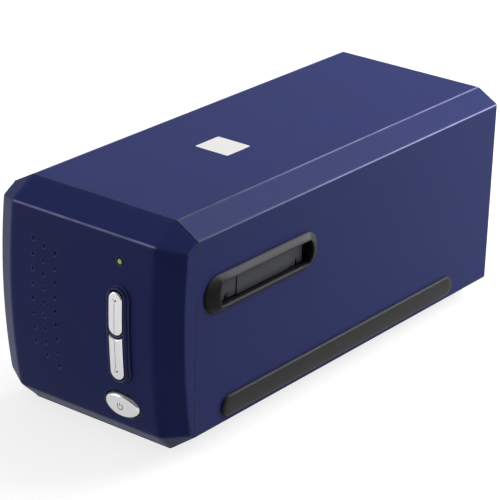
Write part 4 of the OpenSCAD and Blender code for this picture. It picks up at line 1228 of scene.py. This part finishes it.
def streaked_metal(name, colour, rough, streaks, depth=0.000003, tarnish=(0.3, 0.29, 0.28, 1)):
    """Bare metal with fine tool marks; streaks gives their scale along X, Y and Z."""
    material, shader = new_material(name, colour, rough, metal=1.0)
    place = own_place(material)
    stretch = add_node(material, "ShaderNodeMapping", Vector=place, Scale=streaks)
    marks = texture(material, "Noise", stretch.outputs["Vector"], Scale=1.0, Detail=4.0,
                    Roughness=0.6)
    cloud = texture(material, "Noise", place, Scale=160.0, Detail=4.0)
    dull = ranged(material, cloud, From_Min=0.5, From_Max=0.8, To_Max=0.35)
    tint = mix_colours(material, dull, colour, tarnish)
    dress(material, shader, tint, marks, (rough - 0.08, rough + 0.1))
    raised(material, shader, marks, 0.4, depth)
    return material


def finish(material, *names):
    """Gives solids that keep their own shape a finish."""
    for name in names:
        for slot in nodes[name].material_slots:
            slot.material = material


def new_tree(name, **inputs):
    """A geometry-nodes tree and its two ends; the inputs are given as names under their kinds."""
    tree = bpy.data.node_groups.new(name, "GeometryNodeTree")
    tree.interface.new_socket("Geometry", in_out="OUTPUT", socket_type="NodeSocketGeometry")
    for kind, names in inputs.items():
        for name in names:
            tree.interface.new_socket(name, in_out="INPUT", socket_type="NodeSocket" + kind)
    return tree, tree.nodes.new("NodeGroupInput").outputs, tree.nodes.new("NodeGroupOutput")


def hand_out(tree, given, result, geometry):
    """Makes the geometry of a tree real, paints it and gives it out."""
    real = add_node(tree, "GeometryNodeRealizeInstances", Geometry=geometry)
    paint = add_node(tree, "GeometryNodeSetMaterial", Geometry=real.outputs["Geometry"],
                     Material=given["Metal"])
    join(tree, paint.outputs["Geometry"], result.inputs["Geometry"])


def coil_tree():
    """A wound wire: turns, radius, length and wire radius are its inputs."""
    tree, given, result = new_tree(
        "wound wire", Float=("Turns", "Coil Radius", "Length", "Wire Radius"),
        Int=("Steps a Turn",), Material=("Metal",))
    helix = add_node(tree, "GeometryNodeCurveSpiral", Rotations=given["Turns"],
                     Start_Radius=given["Coil Radius"], End_Radius=given["Coil Radius"],
                     Height=given["Length"], Resolution=given["Steps a Turn"])
    section = add_node(tree, "GeometryNodeCurvePrimitiveCircle", Resolution=8,
                       Radius=given["Wire Radius"])
    sweep = add_node(tree, "GeometryNodeCurveToMesh", Curve=helix.outputs["Curve"],
                     Profile_Curve=section.outputs["Curve"], Fill_Caps=True)
    hand_out(tree, given, result, sweep.outputs["Mesh"])
    return tree


def grown(tree, values, places=()):
    """The plain mesh that a geometry-nodes tree makes with the given inputs and places."""
    points = bpy.data.meshes.new("places")
    points.from_pydata(places, [], [])
    holder = bpy.data.objects.new("holder", points)
    bpy.context.collection.objects.link(holder)
    step = holder.modifiers.new("grow", "NODES")
    step.node_group = tree
    for item in tree.interface.items_tree:
        if item.in_out == "INPUT" and item.name in values:
            step[item.identifier] = values[item.name]
    mesh = applied_mesh(holder)
    bpy.data.objects.remove(holder)
    return mesh


def joined(name, parts, material, smooth_angle=40):
    """One object of several meshes, each set in place by a matrix."""
    bm = bmesh.new()
    for mesh, matrix in parts:
        before = len(bm.verts)
        bm.from_mesh(mesh)
        bm.verts.ensure_lookup_table()
        bmesh.ops.transform(bm, matrix=matrix, verts=bm.verts[before:])
    for face in bm.faces:
        face.material_index = 0
    return closed_object(name, bm, smooth_angle, material)


# painted shade: a long reach darkens the flap's top under the bezel's lip
flap_grey = moulded_plastic("dark grey flap plastic", (0.034, 0.036, 0.042, 1),
                            (0.044, 0.047, 0.054, 1), 0.42, 0.2, grain=0.0004, depth=0.000008,
                            wear_and_highlight=black_wear_highlight, painted_shade_reach=0.004)
bright_steel = streaked_metal("ground bright steel", (0.55, 0.55, 0.56, 1), 0.25, (300, 4000, 300))
spring_steel = streaked_metal("drawn spring steel", (0.42, 0.42, 0.44, 1), 0.3, (900, 900, 900))
finish(bright_steel, "right_flap_pin", "left_flap_pin", "index_lever_pin")
winding = coil_tree()
lay_along_y = Matrix.Rotation(math.radians(-90), 4, "X")
spring_mesh = grown(winding, {
    "Turns": spring_turns, "Coil Radius": spring_r, "Length": spring_l,
    "Wire Radius": spring_wire, "Steps a Turn": 20, "Metal": spring_steel,
})
for side_name, side in (("right", 1), ("left", -1)):
    flap = node_copy(side_name + "_dust_flap", side_name + "_grey_flap", [flap_grey],
                     flap_edge_r, flap_edges, body=side_name + "_flap", segments=2)
    shape_flap(flap, side)
    parts = []
    for start in spring_starts:
        parts.append((spring_mesh, Matrix.Translation((side * pin_x, start, pin_z)) @ lay_along_y))
        leg = bmesh.new()
        bmesh.ops.create_cone(leg, cap_ends=True, segments=8, radius1=spring_wire,
                              radius2=spring_wire, depth=spring_leg_l)
        place = (side * (pin_x - spring_r), start + spring_l / 2, pin_z - spring_leg_l / 2)
        parts.append((plain_mesh("spring leg", leg), Matrix.Translation(place)))
    springs = joined(side_name + "_coil_springs", parts, spring_steel)
    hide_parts(side_name + "_flap_springs")
    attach(springs, "casing")

# ---------- feet and case screws ----------
# Four round feet of black rubber, pressed into the tray, and four zinc-plated cross-head screws
# beside them that hold the cover. The other screws inside are of the same kind.
foot_edge_r = 0.0004


def foot_edges(edge):
    return 1.0 if middle(edge).z < 0.0001 else 0.0


def pattern_tree(name, sizes):
    """A tree for solids that are set out at places, with a list of sizes and a turn."""
    return new_tree(name, Geometry=("Places",), Float=sizes, Vector=("Turn",),
                    Material=("Metal",))


def packed(tree, x, y, z):
    return add_node(tree, "ShaderNodeCombineXYZ", X=x, Y=y, Z=z).outputs["Vector"]


def block_at(tree, size, place):
    """A block in a tree; size and place are three sockets or numbers each."""
    block = add_node(tree, "GeometryNodeMeshCube", Size=packed(tree, *size))
    return add_node(tree, "GeometryNodeTransform", Geometry=block.outputs["Mesh"],
                    Translation=packed(tree, *place)).outputs["Geometry"]


def set_out(tree, given, result, solids):
    """Puts the joined solids at every place."""
    together = add_node(tree, "GeometryNodeJoinGeometry")
    for solid in solids:
        join(tree, solid, together.inputs["Geometry"])
    spread = add_node(tree, "GeometryNodeInstanceOnPoints", Points=given["Places"],
                      Instance=together.outputs["Geometry"], Rotation=given["Turn"])
    hand_out(tree, given, result, spread.outputs["Instances"])


def screw_tree():
    """Pan-head screws with a cross recess: the head stands above its place, the shank below."""
    tree, given, result = pattern_tree("cross-head screws", (
        "Head Radius", "Head Height", "Shank Radius", "Shank Length", "Recess Width"))
    radius, height, width = given["Head Radius"], given["Head Height"], given["Recess Width"]
    head = add_node(tree, "GeometryNodeMeshCone", Vertices=32, Side_Segments=2,
                    Radius_Bottom=radius, Radius_Top=figure(tree, "MULTIPLY", radius, 0.82),
                    Depth=height)
    length = figure(tree, "MULTIPLY", radius, 1.25)
    recessed = add_node(tree, "GeometryNodeMeshBoolean")
    recessed.operation = "DIFFERENCE"
    join(tree, head.outputs["Mesh"], recessed.inputs["Mesh 1"])
    for size in ((length, width, height), (width, length, height)):
        join(tree, block_at(tree, size, (0, 0, height)), recessed.inputs["Mesh 2"])
    shank = add_node(tree, "GeometryNodeMeshCylinder", Vertices=16, Radius=given["Shank Radius"],
                     Depth=given["Shank Length"])
    drop = packed(tree, 0, 0, figure(tree, "MULTIPLY", given["Shank Length"], -0.5))
    below = add_node(tree, "GeometryNodeTransform", Geometry=shank.outputs["Mesh"],
                     Translation=drop)
    set_out(tree, given, result, (recessed.outputs["Mesh"], below.outputs["Geometry"]))
    return tree


def screws(node, name, size, length, turn, places):
    """Screws of a size and length in mm that take a node's place on the casing."""
    mesh = grown(screw_pattern, {
        "Head Radius": 0.95 * size / 1000, "Head Height": 0.6 * size / 1000,
        "Shank Radius": size / 2000, "Shank Length": length / 1000,
        "Recess Width": 0.22 * size / 1000, "Turn": turn, "Metal": zinc_plate,
    }, [Vector(place) / 1000 for place in places])
    piece = joined(name, [(mesh, Matrix())], zinc_plate, 30)
    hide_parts(node)
    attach(piece, "casing")


feet = node_copy("rubber_feet", "round_rubber_feet", [black_rubber], foot_edge_r, foot_edges)
zinc_plate = streaked_metal("zinc-plated steel", (0.5, 0.5, 0.52, 1), 0.32, (1500, 1500, 1500))
screw_pattern = screw_tree()
screws("case_screws", "zinc_case_screws", 2.4, 14, (math.pi, 0, 0),
       [(x, y, 11.2) for x in (-50.4, 50.4) for y in (-70, 80)])

# ---------- button board ----------
# A small green circuit board on four bosses behind the front panel, with a dome switch behind
# each key and the lamp of the status light.


def circuit_board(name, pitch):
    """Green solder mask over copper tracks, with rows of tinned pads."""
    mask = (0.012, 0.09, 0.035, 1)
    material, shader = new_material(name, mask, 0.3, specular=0.5)
    place = own_place(material)
    tracks = texture(material, "Brick", place, "Color", Scale=1 / pitch, Mortar_Size=0.05,
                     Color1=mask, Color2=(0.018, 0.11, 0.045, 1), Mortar=(0.03, 0.17, 0.06, 1))
    pads = texture(material, "Voronoi", place, "Distance", Scale=0.8 / pitch, Randomness=0.35)
    fine = texture(material, "Noise", place, Scale=900.0, Detail=4.0)
    tinned = ranged(material, pads, From_Min=0.14, From_Max=0.12)
    dress(material, shader, mix_colours(material, tinned, tracks, (0.5, 0.48, 0.42, 1)), fine,
          (0.22, 0.4))
    raised(material, shader, tracks.node.outputs["Fac"], 0.4, 0.00003)
    return material


board_green = circuit_board("green circuit board", 0.0024)
component_black = moulded_plastic("black epoxy component", (0.015, 0.015, 0.016, 1),
                                  (0.024, 0.024, 0.025, 1), 0.5, 0.4, grain=0.0003, depth=0.00001)
finish(board_green, "button_board")
finish(component_black, "button_switches")
screws("button_board_screws", "zinc_button_board_screws", 2, 6, (-math.pi / 2, 0, 0),
       [(x, -115.8, z) for x in (8, 40) for z in (14, 92)])

# ---------- inner frame ----------
# One moulding of glass-filled black plastic that stands on the tray and carries the film bed,
# the guide rods, the motor and the main board.
glass_filled = moulded_plastic("glass-filled black plastic", (0.016, 0.016, 0.018, 1),
                               (0.026, 0.026, 0.028, 1), 0.55, 0.4, grain=0.0006, depth=0.00002)
finish(glass_filled, "inner_frame")
floor_screws = [(x, y, 10.5) for x in (-30, 30) for y in (-98, 104)]
screws("frame_screws", "zinc_frame_screws", 2.2, 7.5, (0, 0, 0),
       floor_screws + [(x, y, 73.6) for x in (-50, 50) for y in (40, 124)])

# ---------- film bed, guide cover and index lever ----------
# The film bed and the cover over it make the channel for the film holder. A sprung lever of
# grey acetal holds a white roller that clicks into the holder's notches.
acetal_grey = moulded_plastic("grey acetal", (0.09, 0.095, 0.1, 1), (0.11, 0.115, 0.12, 1),
                              0.35, 0.5, grain=0.0005, depth=0.000008, wear_and_highlight=(0.2, 0.2, 0.2, 1))
acetal_white = moulded_plastic("white acetal", (0.62, 0.61, 0.58, 1), (0.7, 0.69, 0.66, 1),
                               0.35, 0.5, grain=0.0005, depth=0.000008, wear_and_highlight=(0.5, 0.49, 0.46, 1))
finish(glass_filled, "film_bed", "film_guide_cover")
finish(acetal_grey, "index_lever")
finish(acetal_white, "index_roller")
finish(spring_steel, "index_spring")
screws("film_bed_screws", "zinc_film_bed_screws", 1.8, 7.5, (0, 0, 0),
       [(x, y, 73) for x in (-50, 50) for y in (-98.2, -32.2)]
       + [(x, y, 89) for x in (-36, 36) for y in (-104.4, -27.7)])

# ---------- guide rods and feed screw ----------
# Two ground steel rods carry the scan carriage. A steel screw with a round thread of 4 mm lead
# drives it, in two sintered bronze bearings, through a bronze nut.
screw_x, screw_z = -0.04, 0.036
screw_r, thread_wire = 0.0025, 0.0005
thread_y0, thread_y1 = -0.0435, 0.11
screw_y0, screw_y1 = -0.048, 0.1195
thread_lead = 0.004


def turned_rod(x, z, steps, count=40):
    """A round rod along Y from a list of (y, radius) steps."""
    bm = bmesh.new()
    capped(bm, [[(px, y, pz) for px, pz in oval_outline(x, z, r, r, count)] for y, r in steps])
    return plain_mesh("turned rod", bm)


bronze = streaked_metal("sintered bronze", (0.52, 0.3, 0.12, 1), 0.42, (2500, 2500, 2500),
                        depth=0.000008, tarnish=(0.25, 0.15, 0.07, 1))
finish(bright_steel, "main_guide_rod", "side_guide_rod")
finish(bronze, "screw_bearings", "feed_nut", "rod_bushes", "motor_pinion")
core_r = screw_r - thread_wire
core = turned_rod(screw_x, screw_z, (
    (screw_y0, screw_r - 0.0003), (screw_y0 + 0.0003, screw_r), (thread_y0, screw_r),
    (thread_y0, core_r), (thread_y1, core_r), (thread_y1, screw_r),
    (screw_y1 - 0.0003, screw_r), (screw_y1, screw_r - 0.0003),
))
thread = grown(winding, {
    "Turns": (thread_y1 - thread_y0) / thread_lead, "Coil Radius": core_r,
    "Length": thread_y1 - thread_y0, "Wire Radius": thread_wire, "Steps a Turn": 24,
    "Metal": bright_steel,
})
thread_place = Matrix.Translation((screw_x, thread_y0, screw_z)) @ lay_along_y
threaded = joined("threaded_feed_screw", [(core, Matrix()), (thread, thread_place)], bright_steel)
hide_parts("feed_screw")
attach(threaded, "feed_drive")

# ---------- scan carriage ----------
# A black box on bronze bushes with a mirror, a lens in an anodised barrel and the line sensor
# under a cover. Its arm carries the lamp over the film.


def clear_glass(name, tint):
    material, shader = new_material(name, tint, 0.03, specular=0.5)
    tune(material, Transmission_Weight=0.9, IOR=1.52)
    dust_and_sheen = texture(material, "Noise", own_place(material), Scale=700.0, Detail=6.0)
    gloss = ranged(material, dust_and_sheen, From_Min=0.45, To_Min=0.02, To_Max=0.14)
    join(material, gloss, shader.inputs["Roughness"])
    return material


finish(glass_filled, "scan_carriage", "optics_cover", "lamp_arm")
finish(streaked_metal("front-coated mirror", (0.88, 0.89, 0.9, 1), 0.09, (400, 400, 400),
                      depth=0.0000002, tarnish=(0.8, 0.81, 0.82, 1)), "scan_mirror")
finish(streaked_metal("black anodised aluminium", (0.04, 0.04, 0.045, 1), 0.4, (300, 5000, 300),
                      tarnish=(0.07, 0.07, 0.075, 1)), "lens_barrel")
finish(clear_glass("coated lens glass", (0.8, 0.88, 0.93, 1)), "lens_glass")
finish(board_green, "sensor_board")
finish(component_black, "line_sensor", "home_sensor")
finish(circuit_board("white lamp board", 0.0021), "lamp_board")
lamp_tracks = bpy.data.materials["white lamp board"].node_tree.nodes["Brick Texture"]
for part, shade in (("Color1", 0.7), ("Color2", 0.74), ("Mortar", 0.6)):
    lamp_tracks.inputs[part].default_value = (shade, shade, shade * 0.97, 1)
diffuser = moulded_plastic("milky diffuser", (0.78, 0.78, 0.76, 1), (0.82, 0.82, 0.8, 1), 0.45,
                           0.5, grain=0.0003, depth=0.000004, wear_and_highlight=(0.7, 0.7, 0.68, 1))
tune(diffuser, Transmission_Weight=0.3)
finish(diffuser, "lamp_diffuser")

# ---------- motor and gears ----------
# A small stepper motor in a zinc-plated can on the rear upright. Its bronze pinion drives the
# white acetal gear of the feed screw.
motor_edge_r = 0.0006
motor_front_y = 0.1115


def motor_edges(edge):
    return 1.0 if middle(edge).y < motor_front_y else 0.0


motor_can = streaked_metal("zinc-plated motor can", (0.52, 0.52, 0.54, 1), 0.34, (120, 120, 2500))
motor = node_copy("stepper_motor", "zinc_stepper_motor", [motor_can], motor_edge_r, motor_edges)
finish(acetal_white, "screw_gear")

# ---------- main board and sockets ----------
# The main board lies on the frame's posts behind the film bed, with its chips, capacitors and
# plugs. The square USB socket and the round power inlet reach through the rear panel.
board_top_z = 0.0736
leg_pitch = 0.00127
# the chips' middles, widths and lengths in mm
chips = ((0, 70, 20, 20), (-28, 66, 12, 18), (26, 66, 8, 14), (26, 92, 12, 12), (-30, 100, 8, 8))
usb_place = Vector((-0.018, 0.0787))
tongue_half = Vector((0.00285, 0.00165))
inlet_place = Vector((0.014, 0.0796))
inlet_pin_r = 0.00105


def chip_edges(edge):
    return 1.0 if middle(edge).z > board_top_z + 0.0005 else 0.0


def socket_edges(edge):
    return 0.8 if middle(edge).y > rear_rim_y else 0.0


def leg_tree():
    """Bent tin legs: out of a chip at half its height, down, and out along the board."""
    tree, given, result = pattern_tree("bent chip legs", ("Width", "Thickness", "Reach", "Height"))
    width, thick = given["Width"], given["Thickness"]
    reach, height = given["Reach"], given["Height"]
    half = figure(tree, "MULTIPLY", reach, 0.55)
    at = [figure(tree, "MULTIPLY", reach, share) for share in (0.25, 0.5, 0.75)]
    half_height = figure(tree, "MULTIPLY", height, 0.5)
    half_thick = figure(tree, "MULTIPLY", thick, 0.5)
    set_out(tree, given, result, (
        block_at(tree, (half, width, thick), (at[0], 0, height)),
        block_at(tree, (thick, width, height), (at[1], 0, half_height)),
        block_at(tree, (half, width, thick), (at[2], 0, half_thick)),
    ))
    return tree


def leg_rows():
    """Turns and places of the legs, for the four sides of the square chips and two of the rest."""
    rows = []
    for chip in chips:
        x, y, w, l = (size / 1000 for size in chip)
        count = int(l * 0.85 / leg_pitch)
        offsets = [(i - (count - 1) / 2) * leg_pitch for i in range(count)]
        for side in (1, -1):
            rows.append((0 if side > 0 else math.pi,
                         [(x + side * w / 2, y + off, board_top_z) for off in offsets]))
            if w == l:
                rows.append((side * math.pi / 2,
                             [(x + off, y + side * l / 2, board_top_z) for off in offsets]))
    return rows


board_components = node_copy("board_chips", "epoxy_chips", [component_black], 0.0002, chip_edges,
                             segments=1)
tinned = streaked_metal("tinned steel", (0.62, 0.62, 0.63, 1), 0.28, (800, 800, 800))
leg_pattern = leg_tree()
leg_meshes = [
    (grown(leg_pattern, {"Width": 0.0004, "Thickness": 0.00015, "Reach": 0.0012, "Height": 0.0007,
                         "Turn": (0, 0, turn), "Metal": tinned}, places), Matrix())
    for turn, places in leg_rows()
]
legs = joined("tinned_chip_legs", leg_meshes, tinned)
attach(legs, "casing")
aluminium = streaked_metal("aluminium can", (0.68, 0.68, 0.7, 1), 0.3, (200, 200, 3000))
capacitors = node_copy("board_capacitors", "aluminium_capacitors", [aluminium], 0.0005,
                       chip_edges)
finish(board_green, "main_board")
usb_socket = node_copy("usb_socket", "steel_usb_socket", [tinned, acetal_white], 0.0002,
                       socket_edges, segments=2)
power_inlet = node_copy("power_socket", "black_power_inlet", [component_black, tinned], 0.0002,
                        socket_edges, segments=2)
# the tongue in the USB socket is white plastic, and the pin in the power inlet is metal
for face in usb_socket.data.polygons:
    off = Vector((face.center.x, face.center.z)) - usb_place
    if abs(off.x) < tongue_half.x and abs(off.y) < tongue_half.y and face.center.y > 0.125:
        face.material_index = 1
for face in power_inlet.data.polygons:
    off = Vector((face.center.x, face.center.z)) - inlet_place
    if off.length < inlet_pin_r and face.center.y > 0.124:
        face.material_index = 1

# ---------- ribbon cable ----------
# A flat white cable of twenty conductors that loops between the carriage and the main board.


def flat_cable(name, pitch):
    """White film with the grey shadow of its conductors along it."""
    material, shader = new_material(name, (0.7, 0.7, 0.69, 1), 0.4, specular=0.5)
    stripes = texture(material, "Wave", own_place(material), Scale=math.pi / 10 / pitch)
    stripes.node.bands_direction = "X"
    tint = mix_colours(material, stripes, (0.72, 0.72, 0.71, 1), (0.5, 0.5, 0.52, 1))
    dress(material, shader, tint, stripes, (0.3, 0.45))
    raised(material, shader, stripes, 0.4, 0.00002)
    return material


finish(flat_cable("flat ribbon cable", 0.001), "ribbon_cable")
